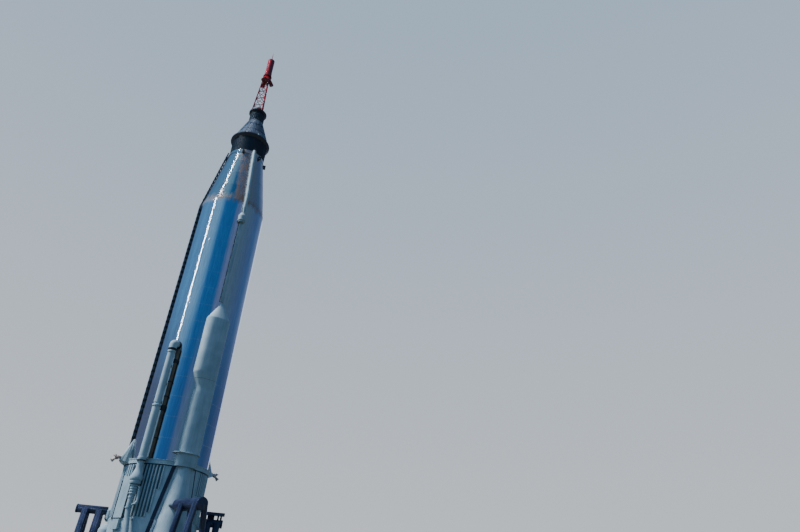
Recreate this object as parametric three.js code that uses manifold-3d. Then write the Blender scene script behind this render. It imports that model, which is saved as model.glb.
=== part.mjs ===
// A one-and-a-half-stage space rocket with a crew capsule and an escape tower, held upright on four
// radial pipe frames. Millimetres, +Z up. The origin is on the floor under the rocket's axis.
// A feature's bearing is counted from -Y (0 degrees) towards +X (90 degrees).
import * as THREE from 'three';
import { mergeVertices } from 'three/addons/utils/BufferGeometryUtils.js';
import Module from 'manifold-3d';

const wasm = await Module();
wasm.setup();

// Driving dimensions
const GAP = 0.3;                    // left between pieces that touch
const TANK_R = 1524;                // 10 ft tank
const TANK_SIDES = 64;
const JOINT_Z = 5500;               // lower edge of the ring between tank and skirt, above the floor
const RING_H = 170;
const RING_R = 1610;
const CYLINDER_TOP_Z = JOINT_Z + 12400;
const CONE_TOP_Z = JOINT_Z + 16000;
const CONE_TOP_R = 889;             // 70 in
const WIDE_RING_Z = JOINT_Z + 17060;
const WIDE_RING_R = 1026;
const CAPSULE_R = 946;              // 74.5 in across the heat shield
const NECK_R = 400;
const NECK_Z = JOINT_Z + 18650;
const COLLAR_Z = JOINT_Z + 19250;
const TOWER_TOP_Z = JOINT_Z + 22000;
const MOTOR_R = 190;                // 15 in
const MOTOR_TOP_Z = JOINT_Z + 23800;
const SPIKE_TOP_Z = JOINT_Z + 24400;
const SKIRT_R = 1600;
const SEAM_Z = JOINT_Z - 1900;      // skirt to engine section
const SHELL_LOW_Z = JOINT_Z - 4000;
const NOZZLE_LOW_Z = JOINT_Z - 4650;
const ENGINE_Y = 1650;              // booster engines either side of the axis

// Colours
const STEEL = [0xb9bec2, 0.28, 1.0];
const PAINT = [0xa9bcb8, 0.55, 0.0];
const DARK_SHINGLE = [0x1d2527, 0.6, 0.2];
const TOWER_RED = [0x8c2a26, 0.55, 0.0];
const STAND_BLUE = [0x1f2a45, 0.5, 0.0];
const CABLE_BLACK = [0x17181a, 0.8, 0.0];
const BARE_METAL = [0x6c6f70, 0.45, 0.8];
const PIPE_BROWN = [0x6f5f50, 0.6, 0.1];

// Shapes

// A closed three.js geometry as a solid, its faces turned outwards.
function solid(geometry) {
  const bare = geometry.index ? geometry.toNonIndexed() : geometry;
  bare.deleteAttribute('normal');
  bare.deleteAttribute('uv');
  const merged = mergeVertices(bare, 0.01);
  const index = merged.index.array;
  const corner = merged.attributes.position;
  const [a, b, c] = [new THREE.Vector3(), new THREE.Vector3(), new THREE.Vector3()];
  const triangles = [];
  let volume = 0;
  for (let i = 0; i < index.length; i += 3) {
    const [p, q, r] = [index[i], index[i + 1], index[i + 2]];
    if (p === q || q === r || r === p) continue;
    triangles.push([p, q, r]);
    a.fromBufferAttribute(corner, p);
    b.fromBufferAttribute(corner, q);
    c.fromBufferAttribute(corner, r);
    volume += a.dot(b.cross(c));
  }
  if (volume < 0) triangles.forEach((triangle) => triangle.reverse());
  const vertProperties = new Float32Array(corner.array);
  const triVerts = new Uint32Array(triangles.flat());
  return new wasm.Manifold(new wasm.Mesh({ numProp: 3, vertProperties, triVerts }));
}

function joined(solids) {
  return solids.reduce((whole, piece) => whole.add(piece));
}

function box(size, centre) {
  return solid(new THREE.BoxGeometry(...size).translate(...centre));
}

// A profile of [radius, height] points turned about the Z axis.
function turned(profile, sides = 32) {
  const points = profile.map(([radius, height]) => new THREE.Vector2(radius, height));
  return solid(new THREE.LatheGeometry(points, sides).rotateX(Math.PI / 2));
}

// A round bar or a cone between two points.
function bar(from, to, startR, endR = startR, sides = 12) {
  const [start, end] = [new THREE.Vector3(...from), new THREE.Vector3(...to)];
  const run = end.clone().sub(start);
  const geometry = new THREE.CylinderGeometry(endR, startR, run.length(), sides);
  const turn = new THREE.Quaternion().setFromUnitVectors(new THREE.Vector3(0, 1, 0), run.normalize());
  geometry.applyQuaternion(turn);
  const middle = start.add(end).multiplyScalar(0.5);
  return solid(geometry.translate(middle.x, middle.y, middle.z));
}

// An outline of [x, y] points, with an optional hole, pulled up from one height to another.
function prism(outline, lowZ, highZ, hole = null) {
  const shape = new THREE.Shape(outline.map(([x, y]) => new THREE.Vector2(x, y)));
  if (hole) shape.holes.push(new THREE.Path(hole.map(([x, y]) => new THREE.Vector2(x, y))));
  const geometry = new THREE.ExtrudeGeometry(shape, { depth: highZ - lowZ, bevelEnabled: false });
  return solid(geometry.translate(0, 0, lowZ));
}

// A tube of round section swept along straight runs with rounded bends.
function pipe(route, radius, sides = 12, bend = 2) {
  const path = new THREE.CurvePath();
  const points = route.map((point) => new THREE.Vector3(...point));
  let start = points[0];
  for (let i = 1; i < points.length - 1; i += 1) {
    const share = (neighbour) => Math.min(0.45, (bend * radius) / points[i].distanceTo(neighbour));
    const before = points[i].clone().lerp(points[i - 1], share(points[i - 1]));
    const after = points[i].clone().lerp(points[i + 1], share(points[i + 1]));
    path.add(new THREE.LineCurve3(start, before));
    path.add(new THREE.QuadraticBezierCurve3(before, points[i], after));
    start = after;
  }
  path.add(new THREE.LineCurve3(start, points[points.length - 1]));
  const section = new THREE.Shape(ringOutline(radius, sides).map(([x, y]) => new THREE.Vector2(x, y)));
  const steps = 5 * (points.length - 1);
  return solid(new THREE.ExtrudeGeometry(section, { steps, extrudePath: path, bevelEnabled: false }));
}

function ringOutline(radius, sides) {
  return Array.from({ length: sides }, (_, i) => {
    const angle = (2 * Math.PI * i) / sides;
    return [radius * Math.cos(angle), radius * Math.sin(angle)];
  });
}

// A round outline with hat-shaped ridges standing out of it.
function ridgedOutline(valleyR, ridgeR, ridges) {
  const outline = [];
  for (let i = 0; i < ridges; i += 1) {
    for (const [share, radius] of [[0.0, valleyR], [0.38, valleyR], [0.5, ridgeR], [0.88, ridgeR]]) {
      const angle = (2 * Math.PI * (i + share)) / ridges;
      outline.push([radius * Math.cos(angle), radius * Math.sin(angle)]);
    }
  }
  return outline;
}

// Everything above a height is drawn in or out by a factor, which turns a prism into a taper.
function tapered(geometrySolid, highZ, factor) {
  return geometrySolid.warp((point) => {
    if (point[2] > highZ - 1) {
      point[0] *= factor;
      point[1] *= factor;
    }
  });
}

// A solid drawn facing -Y, turned to its bearing.
function facing(bearing, piece) {
  return piece.rotate([0, 0, bearing]);
}

const rocket = new THREE.Group();

function addMesh(name, piece, [color, roughness, metalness], parent = rocket) {
  const { vertProperties, triVerts } = piece.getMesh();
  const geometry = new THREE.BufferGeometry();
  geometry.setAttribute('position', new THREE.BufferAttribute(new Float32Array(vertProperties), 3));
  geometry.setIndex(new THREE.BufferAttribute(new Uint32Array(triVerts), 1));
  const mesh = new THREE.Mesh(geometry, new THREE.MeshStandardMaterial({ color, roughness, metalness }));
  mesh.name = name;
  parent.add(mesh);
  return mesh;
}

// Tank: the long cylinder and the cone above it
const tankLowZ = JOINT_Z + RING_H + GAP;
const tankSolid = (grow) => joined([
  turned([[0, tankLowZ], [TANK_R + grow, tankLowZ], [TANK_R + grow, CYLINDER_TOP_Z], [0, CYLINDER_TOP_Z]],
    TANK_SIDES),
  turned([[0, CYLINDER_TOP_Z - GAP], [TANK_R + grow, CYLINDER_TOP_Z - GAP],
    [CONE_TOP_R + grow, CONE_TOP_Z], [0, CONE_TOP_Z]], TANK_SIDES),
]);
const tankCut = tankSolid(GAP);
addMesh('tank_cylinder', turned([[0, tankLowZ], [TANK_R, tankLowZ],
  [TANK_R, CYLINDER_TOP_Z], [0, CYLINDER_TOP_Z]], TANK_SIDES), STEEL);
addMesh('tank_cone', turned([[0, CYLINDER_TOP_Z + GAP], [TANK_R, CYLINDER_TOP_Z + GAP],
  [CONE_TOP_R, CONE_TOP_Z], [0, CONE_TOP_Z]], TANK_SIDES), STEEL);

// Joint ring between tank and skirt
const RING_BORE_R = 1250;
addMesh('joint_ring', turned([[RING_BORE_R, JOINT_Z], [RING_R, JOINT_Z],
  [RING_R, JOINT_Z + RING_H], [RING_BORE_R, JOINT_Z + RING_H], [RING_BORE_R, JOINT_Z]], TANK_SIDES), PAINT);

// Nacelle cones over the two booster engines
const NACELLE = { topZ: JOINT_Z, topR: 270, topX: 75, topY: 1450, lowZ: SHELL_LOW_Z, lowR: 800, lowY: 1640 };
const EXTRA = 400;                  // the cone is drawn past its ends and then trimmed level
function nacelleCone(grow) {
  const slope = (NACELLE.lowR - NACELLE.topR) / (NACELLE.topZ - NACELLE.lowZ);
  const lean = (NACELLE.lowY - NACELLE.topY) / (NACELLE.topZ - NACELLE.lowZ);
  const aside = NACELLE.topX / (NACELLE.topZ - NACELLE.lowZ) * EXTRA;
  const top = [NACELLE.topX + aside, -(NACELLE.topY - lean * EXTRA), NACELLE.topZ + EXTRA];
  const low = [-aside, -(NACELLE.lowY + lean * EXTRA), NACELLE.lowZ - EXTRA];
  return bar(low, top, NACELLE.lowR + slope * EXTRA + grow, NACELLE.topR - slope * EXTRA + grow, 40);
}
const nacellePair = (grow) => nacelleCone(grow).add(facing(180, nacelleCone(grow)));
const slab = (lowZ, highZ) => box([6000, 6000, highZ - lowZ], [0, 0, (lowZ + highZ) / 2]);
const drum = (radius, lowZ, highZ) => turned([[0, lowZ], [radius, lowZ], [radius, highZ], [0, highZ]], TANK_SIDES);

// Skirt: a shell with hat-shaped ridges, which stop short of the nacelles' edge flanges
const RIDGES = 64;
const RIDGE_H = 30;
const SHELL_WALL = 40;
const SMOOTH_STRIP = 330;
const EDGE_FLANGE = 80;
const FLANGE_T = 25;
const valleyR = SKIRT_R - RIDGE_H;
const roundUp = 1 / Math.cos(Math.PI / TANK_SIDES);
const smoothing = nacellePair(SMOOTH_STRIP).subtract(drum(valleyR * roundUp, SEAM_Z, JOINT_Z));
addMesh('corrugated_skirt', prism(ridgedOutline(valleyR, SKIRT_R, RIDGES), SEAM_Z + GAP, JOINT_Z - GAP,
  ringOutline(valleyR - SHELL_WALL, TANK_SIDES)).subtract(smoothing), PAINT);
const skirtCut = joined([
  drum(SKIRT_R * roundUp + GAP, SHELL_LOW_Z, JOINT_Z),
  drum(RING_R + GAP, JOINT_Z - GAP, JOINT_Z + RING_H + GAP),
]);
const bodyCut = tankCut.add(skirtCut);

// A solid drawn facing -Y, turned to its bearing and cut back from tank, ring and skirt.
function fitted(bearing, piece) {
  return facing(bearing, piece).subtract(bodyCut);
}

// Nacelle caps: the cones' upper halves with a flange along both edges
const flangeBlank = (bareR, lowZ, highZ) => nacelleCone(EDGE_FLANGE)
  .intersect(drum((bareR + FLANGE_T) * roundUp, lowZ, highZ));
const nacelleCap = nacelleCone(0).intersect(slab(SEAM_Z + GAP, JOINT_Z - GAP))
  .add(flangeBlank(valleyR, SEAM_Z + GAP, JOINT_Z - GAP))
  .subtract(drum(valleyR * roundUp + GAP, SHELL_LOW_Z, JOINT_Z));
addMesh('nacelle_cap_1', nacelleCap, PAINT);
addMesh('nacelle_cap_2', facing(180, nacelleCap), PAINT);

// Engine section: a round shell with the nacelles' lower halves, open inside
const shellFlange = flangeBlank(SKIRT_R, SHELL_LOW_Z, SEAM_Z - GAP);
const shellOuter = joined([
  drum(SKIRT_R, SHELL_LOW_Z, SEAM_Z - GAP),
  nacellePair(0).intersect(slab(SHELL_LOW_Z, SEAM_Z - GAP)),
  shellFlange,
  facing(180, shellFlange),
]);
const innerR = SKIRT_R - SHELL_WALL;
const shellHollow = joined([
  drum(innerR, SHELL_LOW_Z - 1, SEAM_Z + 1),
  nacellePair(-SHELL_WALL).intersect(slab(SHELL_LOW_Z - 1, SEAM_Z + 1)),
]);
addMesh('engine_section_shell', shellOuter.subtract(shellHollow), PAINT);

// Base heat shield across the shell, with a round opening for each engine
const SHIELD_Z = SHELL_LOW_Z + 500;
const SHIELD_T = 40;
const BOOSTER_HOLE_R = 600;
const SUSTAINER_HOLE_R = 540;
const puck = (radius, y) => bar([0, y, SHIELD_Z - 50], [0, y, SHIELD_Z + SHIELD_T + 50], radius, radius, 24);
const shieldBlank = joined([
  drum(innerR - 2, SHIELD_Z, SHIELD_Z + SHIELD_T),
  nacellePair(-SHELL_WALL - 2).intersect(slab(SHIELD_Z, SHIELD_Z + SHIELD_T)),
]);
addMesh('base_heat_shield', shieldBlank.subtract(puck(BOOSTER_HOLE_R, -ENGINE_Y))
  .subtract(puck(BOOSTER_HOLE_R, ENGINE_Y)).subtract(puck(SUSTAINER_HOLE_R, 0)), BARE_METAL);

// Thrust frame: a cross of beams with a fork for each engine's gimbal
const PIVOT_Z = JOINT_Z - 2400;
const FORK = { inner: 110, outer: 150, half: 40, eyeR: 36, pinR: 30, reach: 45, plate: 90 };
const frameLowZ = PIVOT_Z + FORK.plate;
const frameHighZ = SEAM_Z - 100;
const frameBeams = joined([
  box([500, 2 * 1900, frameHighZ - frameLowZ], [0, 0, (frameLowZ + frameHighZ) / 2]),
  box([2 * (innerR - 60), 400, frameHighZ - frameLowZ], [0, 0, (frameLowZ + frameHighZ) / 2]),
]);
function forkLugs(alongX, towards) {
  const lowZ = towards > 0 ? -FORK.reach : -FORK.plate - 10;
  const highZ = towards > 0 ? FORK.plate + 10 : FORK.reach;
  const middle = (FORK.inner + FORK.outer) / 2;
  const thick = FORK.outer - FORK.inner;
  const lugs = [-1, 1].map((side) => box(
    alongX ? [thick, 2 * FORK.half, highZ - lowZ] : [2 * FORK.half, thick, highZ - lowZ],
    alongX ? [side * middle, 0, (lowZ + highZ) / 2] : [0, side * middle, (lowZ + highZ) / 2],
  ));
  const reach = FORK.outer + 20;
  const eye = alongX
    ? bar([-reach, 0, 0], [reach, 0, 0], FORK.eyeR, FORK.eyeR, 16)
    : bar([0, -reach, 0], [0, reach, 0], FORK.eyeR, FORK.eyeR, 16);
  return joined(lugs).subtract(eye);
}
const engineYs = [-ENGINE_Y, ENGINE_Y, 0];
const frameForks = engineYs.map((y) => forkLugs(true, 1).translate([0, y, PIVOT_Z]));
addMesh('thrust_frame', joined([frameBeams, ...frameForks]).intersect(shellHollow), BARE_METAL);

// Gimbal cross: a hub with a pin each way
const gimbalCross = joined([
  box([150, 150, 70], [0, 0, 0]),
  bar([-FORK.outer, 0, 0], [FORK.outer, 0, 0], FORK.pinR, FORK.pinR, 16),
  bar([0, -FORK.outer, 0], [0, FORK.outer, 0], FORK.pinR, FORK.pinR, 16),
]);

// Engine: fork, injector dome, chamber and an open bell
function bellR(throatR, exitR, share) {
  return throatR + (exitR - throatR) * share ** 0.6;
}
function engineBody({ chamberR, throatZ, throatR, exitZ, exitR }) {
  const wall = 22;
  const domeZ = -FORK.plate;
  const chamberLowZ = throatZ + 220;
  const outer = [[0, domeZ], [170, domeZ], [chamberR, domeZ - 130], [chamberR, chamberLowZ]];
  const inner = [];
  const bellSteps = 4;
  for (let i = 0; i <= bellSteps; i += 1) {
    const share = i / bellSteps;
    const z = throatZ + (exitZ - throatZ) * share;
    outer.push([bellR(throatR, exitR, share), z]);
    inner.unshift([bellR(throatR, exitR, share) - wall, z]);
  }
  const plugZ = throatZ - 40;
  inner[inner.length - 1] = [bellR(throatR, exitR, 0.03) - wall, plugZ];
  const profile = [...outer, ...inner, [0, plugZ]];
  return joined([turned(profile, 22), forkLugs(false, -1)]);
}
const boosterEngine = engineBody({
  chamberR: 250, throatZ: -850, throatR: 170, exitZ: NOZZLE_LOW_Z - PIVOT_Z, exitR: 590,
});
const sustainerEngine = engineBody({
  chamberR: 230, throatZ: -750, throatR: 150, exitZ: NOZZLE_LOW_Z + 80 - PIVOT_Z, exitR: 590,
});
const engineTable = [
  // name, y of its axis, body
  ['booster_engine_1', 'booster_gimbal_1', -ENGINE_Y, boosterEngine],
  ['booster_engine_2', 'booster_gimbal_2', ENGINE_Y, boosterEngine],
  ['sustainer_engine', 'sustainer_gimbal', 0, sustainerEngine],
];
for (const [name, crossName, y, body] of engineTable) {
  const group = new THREE.Group();
  group.position.set(0, y, PIVOT_Z);
  rocket.add(group);
  addMesh(crossName, gimbalCross, BARE_METAL, group);
  addMesh(name, body, BARE_METAL, group);
}

// Vernier engines: a cone fairing over the ring on each side and a small swivelling engine outside it
const VERNIER = { apexZ: JOINT_Z + 1050, baseY: 1530, baseR: 400, z: JOINT_Z + 200 };
const vernierCone = bar([0, -VERNIER.baseY, JOINT_Z - 20], [0, -1545, VERNIER.apexZ], VERNIER.baseR, 20, 24)
  .intersect(turned([[0, JOINT_Z + 2], [1640, JOINT_Z + 2], [2000, JOINT_Z + 170], [2000, VERNIER.apexZ + 50],
    [0, VERNIER.apexZ + 50]], TANK_SIDES));
const VERNIER_INNER_R = 1880;
const vernierEngine = joined([
  bar([0, -VERNIER_INNER_R, 0], [0, -1960, 0], 55, 55, 12),
  bar([0, -1930, 20], [0, -2020, -45], 72, 72, 12),
  bar([0, -2012, -40], [0, -2060, -78], 72, 38, 12),
  bar([0, -2055, -74], [0, -2160, -160], 36, 75, 12),
]).translate([0, 0, VERNIER.z]);
const vernierBoss = bar([0, -1800, VERNIER.z], [0, -VERNIER_INNER_R + 6, VERNIER.z], 90, 90, 16);
[90, -90].forEach((bearing, i) => {
  addMesh(`vernier_fairing_${i + 1}`, fitted(bearing, vernierCone.add(vernierBoss)), PAINT);
  addMesh(`vernier_engine_${i + 1}`, facing(bearing, vernierEngine), BARE_METAL);
});

// Equipment pods: half-round blisters, each a nose, a narrower skirt stepped in on one side, and a flanged base
const POD_PROUD = 360;
const POD_CENTRE_Y = 1490;
const podLevels = [
  // height above the joint, left and right edge seen from outside
  { z: 2, left: -375, right: 490 },
  { z: 465, left: -375, right: 490 },
  { z: 466, left: -520, right: 550 },
  { z: 500, left: -520, right: 550 },
  { z: 501, left: -285, right: 515 },
  { z: 2330, left: -285, right: 515 },
  { z: 2600, left: -230, right: 512 },
  { z: 2720, left: -230, right: 511 },
  { z: 2960, left: -300, right: 508 },
  { z: 3409, left: -497, right: 502 },
  { z: 3410, left: -500, right: 500 },
  { z: 6080, left: -500, right: 500 },
  { z: 6240, left: -465, right: 465 },
  { z: 6930, left: -60, right: 60 },
  { z: 6960, left: -20, right: 20 },
];
function podSlice(lowest, highest) {
  const levels = podLevels.slice(lowest, highest + 1);
  const ring = levels.map(({ z, left, right }) => [(right - left) / 2, JOINT_Z + z]);
  const deepest = Math.max(...ring.map(([radius]) => radius));
  const plain = turned([[0, ring[0][1]], ...ring, [0, ring.at(-1)[1]]], 24);
  return plain.scale([1, POD_PROUD / deepest, 1]).warp((point) => {
    const level = levels.find(({ z }) => Math.abs(JOINT_Z + z - point[2]) < 0.4);
    point[0] += (level.left + level.right) / 2;
    point[1] -= POD_CENTRE_Y;
  });
}
const podParts = [
  ['pod_nose', podSlice(10, 14)],
  ['pod_body', podSlice(4, 9)],
  ['pod_base', podSlice(0, 3)],
];
for (const [name, piece] of podParts) {
  addMesh(`${name}_1`, fitted(0, piece), PAINT);
  addMesh(`${name}_2`, fitted(180, piece), PAINT);
}

// Guy band round the top of the tank, with its lugs
const guyZ = CONE_TOP_Z - 220;
const GUY_BAND_T = 18;
const guyBand = tankSolid(GUY_BAND_T).intersect(slab(guyZ - 35, guyZ + 35));
const guyLugs = [-160, -115, -35, 20, 65, 110].map((bearing) => facing(bearing,
  box([60, 190, 240], [0, -CONE_TOP_R - 70, guyZ])));
addMesh('guy_band', joined([guyBand, ...guyLugs]).subtract(tankCut), CABLE_BLACK);

// Vent line over the front: a flat conduit up from the pod, a bulb and a tube over the cone
const VENT_BEARING = -3;
const BULB = { z: JOINT_Z + 11430, lowR: 150, r: 185, domeR: 140, half: 270 };
const podTipZ = JOINT_Z + podLevels.at(-1).z;
const conduit = box([160, 90, BULB.z - BULB.half - podTipZ - 4],
  [-60, -TANK_R, (BULB.z - BULB.half + podTipZ) / 2]);
addMesh('front_conduit', fitted(0, conduit), STEEL);
const bulb = turned([[0, -BULB.half], [BULB.lowR, -BULB.half], [BULB.r, -BULB.half + 60], [BULB.r, 90],
  [BULB.domeR, 150], [BULB.domeR - 30, 230], [0, BULB.half]], 20).translate([0, -TANK_R - 60, BULB.z]);
addMesh('vent_bulb', fitted(VENT_BEARING, bulb), PAINT);
const VENT = { r: 88, lowR: 50, lowZ: JOINT_Z + 11702, fullZ: JOINT_Z + 11980 };
const ventY = -TANK_R - VENT.r - 2;
const ventTube = joined([
  bar([0, ventY, VENT.lowZ], [0, ventY, VENT.fullZ], VENT.lowR, VENT.r, 12),
  pipe([[0, ventY, VENT.fullZ - 20], [0, ventY, CYLINDER_TOP_Z],
    [0, -CONE_TOP_R - VENT.r - 30, CONE_TOP_Z - 40]], VENT.r),
]);
addMesh('vent_tube', fitted(VENT_BEARING, ventTube), PAINT);

// Oxidiser line: a tube down the tank from an elbow, with valve, bellows and branch beside the skirt
const LINE = { bearing: -53, r: 142, y: 1790, elbowR: 160, elbowZ: 4725, collarR: 168 };
const lineAt = (z, x = 0) => [x, -LINE.y, JOINT_Z + z];
const feedElbow = pipe([lineAt(4470), lineAt(LINE.elbowZ), [0, -TANK_R + 60, JOINT_Z + LINE.elbowZ]],
  LINE.elbowR, 16, 1.3);
const feedLine = joined([bar(lineAt(180), lineAt(4400), LINE.r, LINE.r, 20), feedElbow,
  bar(lineAt(4390), lineAt(4500), LINE.collarR, LINE.collarR, 20),
  bar(lineAt(2080), lineAt(2230), LINE.collarR, LINE.collarR, 20)]);
addMesh('oxidiser_line', fitted(LINE.bearing, feedLine), PAINT);
const valve = turned([[0, 178], [155, 178], [155, 50], [110, 30], [110, -110], [143, -296], [195, -410],
  [238, -500], [262, -590], [228, -675], [185, -690], [185, -790], [0, -790]], 24)
  .translate([0, -LINE.y, JOINT_Z]);
addMesh('oxidiser_valve', fitted(LINE.bearing, valve), PAINT);
const BELLOWS = { topZ: -792, folds: 4, pitch: 90, topR: 138, shrink: 5, depth: 26 };
const bellowsProfile = [[0, BELLOWS.topZ], [BELLOWS.topR - BELLOWS.depth, BELLOWS.topZ]];
for (let fold = 0; fold < BELLOWS.folds; fold += 1) {
  const crestR = BELLOWS.topR - BELLOWS.shrink * fold;
  bellowsProfile.push([crestR, BELLOWS.topZ - BELLOWS.pitch * (fold + 0.5)]);
  bellowsProfile.push([crestR - BELLOWS.depth, BELLOWS.topZ - BELLOWS.pitch * (fold + 1)]);
}
const bellowsLowZ = BELLOWS.topZ - BELLOWS.pitch * BELLOWS.folds;
bellowsProfile.push([0, bellowsLowZ]);
const bellows = turned(bellowsProfile, 20).translate([0, -LINE.y, JOINT_Z]);
addMesh('oxidiser_bellows', fitted(LINE.bearing, bellows), PAINT);
const branch = joined([
  pipe([lineAt(bellowsLowZ - 2), lineAt(-1600), lineAt(-2190, 130), lineAt(-2600, 210), lineAt(-3000, 210)], 92, 12),
  pipe([lineAt(-860, 225), lineAt(-1130, 260), lineAt(-1420, 290), lineAt(-1500, 20)], 40, 8),
  bar(lineAt(-1370, 287), lineAt(-1450, 250), 62, 62, 12),
]);
addMesh('oxidiser_branch', fitted(LINE.bearing, branch), PAINT);

// Narrow side tube down the tank, close beside the oxidiser line
const TUBE = { r: 75, y: TANK_R + 79, bearing: -47.2 };
const sideTube = bar([0, -TUBE.y, JOINT_Z + 190], [0, -TUBE.y, JOINT_Z + 4500], TUBE.r, TUBE.r, 16);
addMesh('side_tube', fitted(TUBE.bearing, sideTube), PIPE_BROWN);

// Raceway: a clipped bundle of cables down the side of cone and cylinder
const RACE = { bearing: -101, half: 75, proud: 100 };
const RACE_LOW_Z = JOINT_Z + 530;
const RACE_HIGH_Z = CYLINDER_TOP_Z - 50;
const raceLower = box([2 * RACE.half, RACE.proud + 60, RACE_HIGH_Z - RACE_LOW_Z],
  [0, -TANK_R - (RACE.proud - 60) / 2, (RACE_LOW_Z + RACE_HIGH_Z) / 2]);
addMesh('raceway_lower', fitted(RACE.bearing, raceLower), CABLE_BLACK);
const coneStart = [0, -TANK_R - 40, CYLINDER_TOP_Z + 30];
const coneEnd = [0, -CONE_TOP_R - 45, CONE_TOP_Z - 20];
const raceUpper = bar(coneStart, coneEnd, 85, 75, 10);
const guyBandCut = tankSolid(GUY_BAND_T + 2).intersect(slab(guyZ - 37, guyZ + 37));
addMesh('raceway_upper', fitted(RACE.bearing, raceUpper).subtract(guyBandCut), CABLE_BLACK);

// Access panel and a low blister on the skirt's side
const PANEL = { bearing: -71.5, half: 225, lowZ: SEAM_Z + 4, highZ: JOINT_Z - 480 };
const panel = box([2 * PANEL.half, 60, PANEL.highZ - PANEL.lowZ],
  [0, -SKIRT_R - 5, (PANEL.lowZ + PANEL.highZ) / 2]);
addMesh('access_panel', fitted(PANEL.bearing, panel), PAINT);
const blister = turned([[0, -380], [210, -380], [240, -150], [240, 180], [150, 330], [0, 380]], 20)
  .translate([0, -SKIRT_R, JOINT_Z - 2450]);
addMesh('side_blister_1', fitted(-100, blister), PAINT);
addMesh('side_blister_2', fitted(80, blister), PAINT);

// Box cover under the panel
const COVER = { bearing: -69, half: 155, proud: 110, lowZ: JOINT_Z - 2280, highZ: JOINT_Z - 1950 };
const cover = box([2 * COVER.half, COVER.proud + 60, COVER.highZ - COVER.lowZ],
  [0, -SKIRT_R - (COVER.proud - 60) / 2, (COVER.lowZ + COVER.highZ) / 2]);
addMesh('box_cover', fitted(COVER.bearing, cover), PAINT);

// Stand: four frames, each a level pipe beam on two pairs of posts with one sole plate
const SOLE = { half: 900, thick: 25 };
const POST_SPREAD = 0.135;         // the posts lean outwards by this share of their height
const STUB_FROM_R = 1650;           // a narrower stub runs from each beam in to the nacelle or shell
const standTable = [
  // name, bearing, swing about its middle, beam's height below the joint, radius, inner and outer end,
  // stub's radius, posts' radius, side and two distances, sole plate's inner and outer end
  ['stand_frame_1', 0, 11, 1400, 210, 2230, 3720, 75, 108, 190, 2770, 3560, 2300, 4100],
  ['stand_frame_2', 65, 0, 1690, 145, 1720, 2500, 87, 130, 120, 1950, 2280, 1650, 3050],
  ['stand_frame_3', 180, 11, 1400, 210, 2230, 3720, 75, 108, 190, 2770, 3560, 2300, 4100],
  ['stand_frame_4', -115, 0, 1610, 145, 1720, 2800, 87, 130, 120, 1970, 2450, 1650, 3050],
];
const nacelleCut = nacellePair(GAP).add(skirtCut);
for (const [name, bearing, swing, drop, beamR, innerEnd, outerEnd, stubR, postR, postSide, near, far,
  soleInner, soleOuter] of standTable) {
  const beamZ = JOINT_Z - drop;
  const pieces = [
    bar([0, -innerEnd, beamZ], [0, -outerEnd, beamZ], beamR, beamR, 20),
    bar([0, -STUB_FROM_R, beamZ], [0, -innerEnd - 5, beamZ], stubR, stubR, 16),
  ];
  for (const distance of [near, far]) {
    for (const side of [-postSide, postSide]) {
      const footSide = side * (1 + POST_SPREAD * beamZ / postSide);
      pieces.push(bar([footSide, -distance, SOLE.thick - 5], [side, -distance, beamZ], postR, postR, 12));
    }
  }
  pieces.push(box([2 * SOLE.half, soleOuter - soleInner, SOLE.thick],
    [0, -(soleInner + soleOuter) / 2, SOLE.thick / 2]));
  const middle = (innerEnd + outerEnd) / 2;
  const swung = joined(pieces).translate([0, middle, 0]).rotate([0, 0, swing]).translate([0, -middle, 0]);
  addMesh(name, facing(bearing, swung).subtract(nacelleCut), STAND_BLUE);
}

// Hold-downs: a rounded fitting on the shell at each side frame, and a rest plate over the right beam
const fittingZ = JOINT_Z - 1740;
const holdDown = turned([[0, -230], [110, -230], [180, -140], [180, 140], [110, 230], [0, 230]], 20)
  .scale([1, 0.8, 1]).translate([0, -SKIRT_R - 10, fittingZ]);
const beamCut = (drop) => bar([0, -STUB_FROM_R + 1, JOINT_Z - drop],
  [0, -3000, JOINT_Z - drop], 150, 150, 20);
addMesh('hold_down_fitting_1', fitted(65, holdDown.subtract(beamCut(1690))), PAINT);
addMesh('hold_down_fitting_2', fitted(-115, holdDown.subtract(beamCut(1610))), PAINT);
const REST = { lowZ: JOINT_Z - 1400, thick: 100, innerEnd: 1720, outerEnd: 2520, half: 170 };
const restStubLowZ = JOINT_Z - 1690 + 100;
const restPlate = joined([
  box([2 * REST.half, REST.outerEnd - REST.innerEnd, REST.thick],
    [0, -(REST.innerEnd + REST.outerEnd) / 2, REST.lowZ + REST.thick / 2]),
  box([200, 260, REST.lowZ - restStubLowZ + 10], [0, -2020, (REST.lowZ + 10 + restStubLowZ) / 2]),
  bar([0, -2290, restStubLowZ], [0, -2290, REST.lowZ + 10], 35, 35, 12),
  bar([0, -2400, restStubLowZ], [0, -2400, REST.lowZ + 10], 35, 35, 12),
]).subtract(bar([0, -1500, JOINT_Z - 1690], [0, -3000, JOINT_Z - 1690], 146, 146, 40));
addMesh('rest_plate', fitted(65, restPlate), STAND_BLUE);

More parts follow.
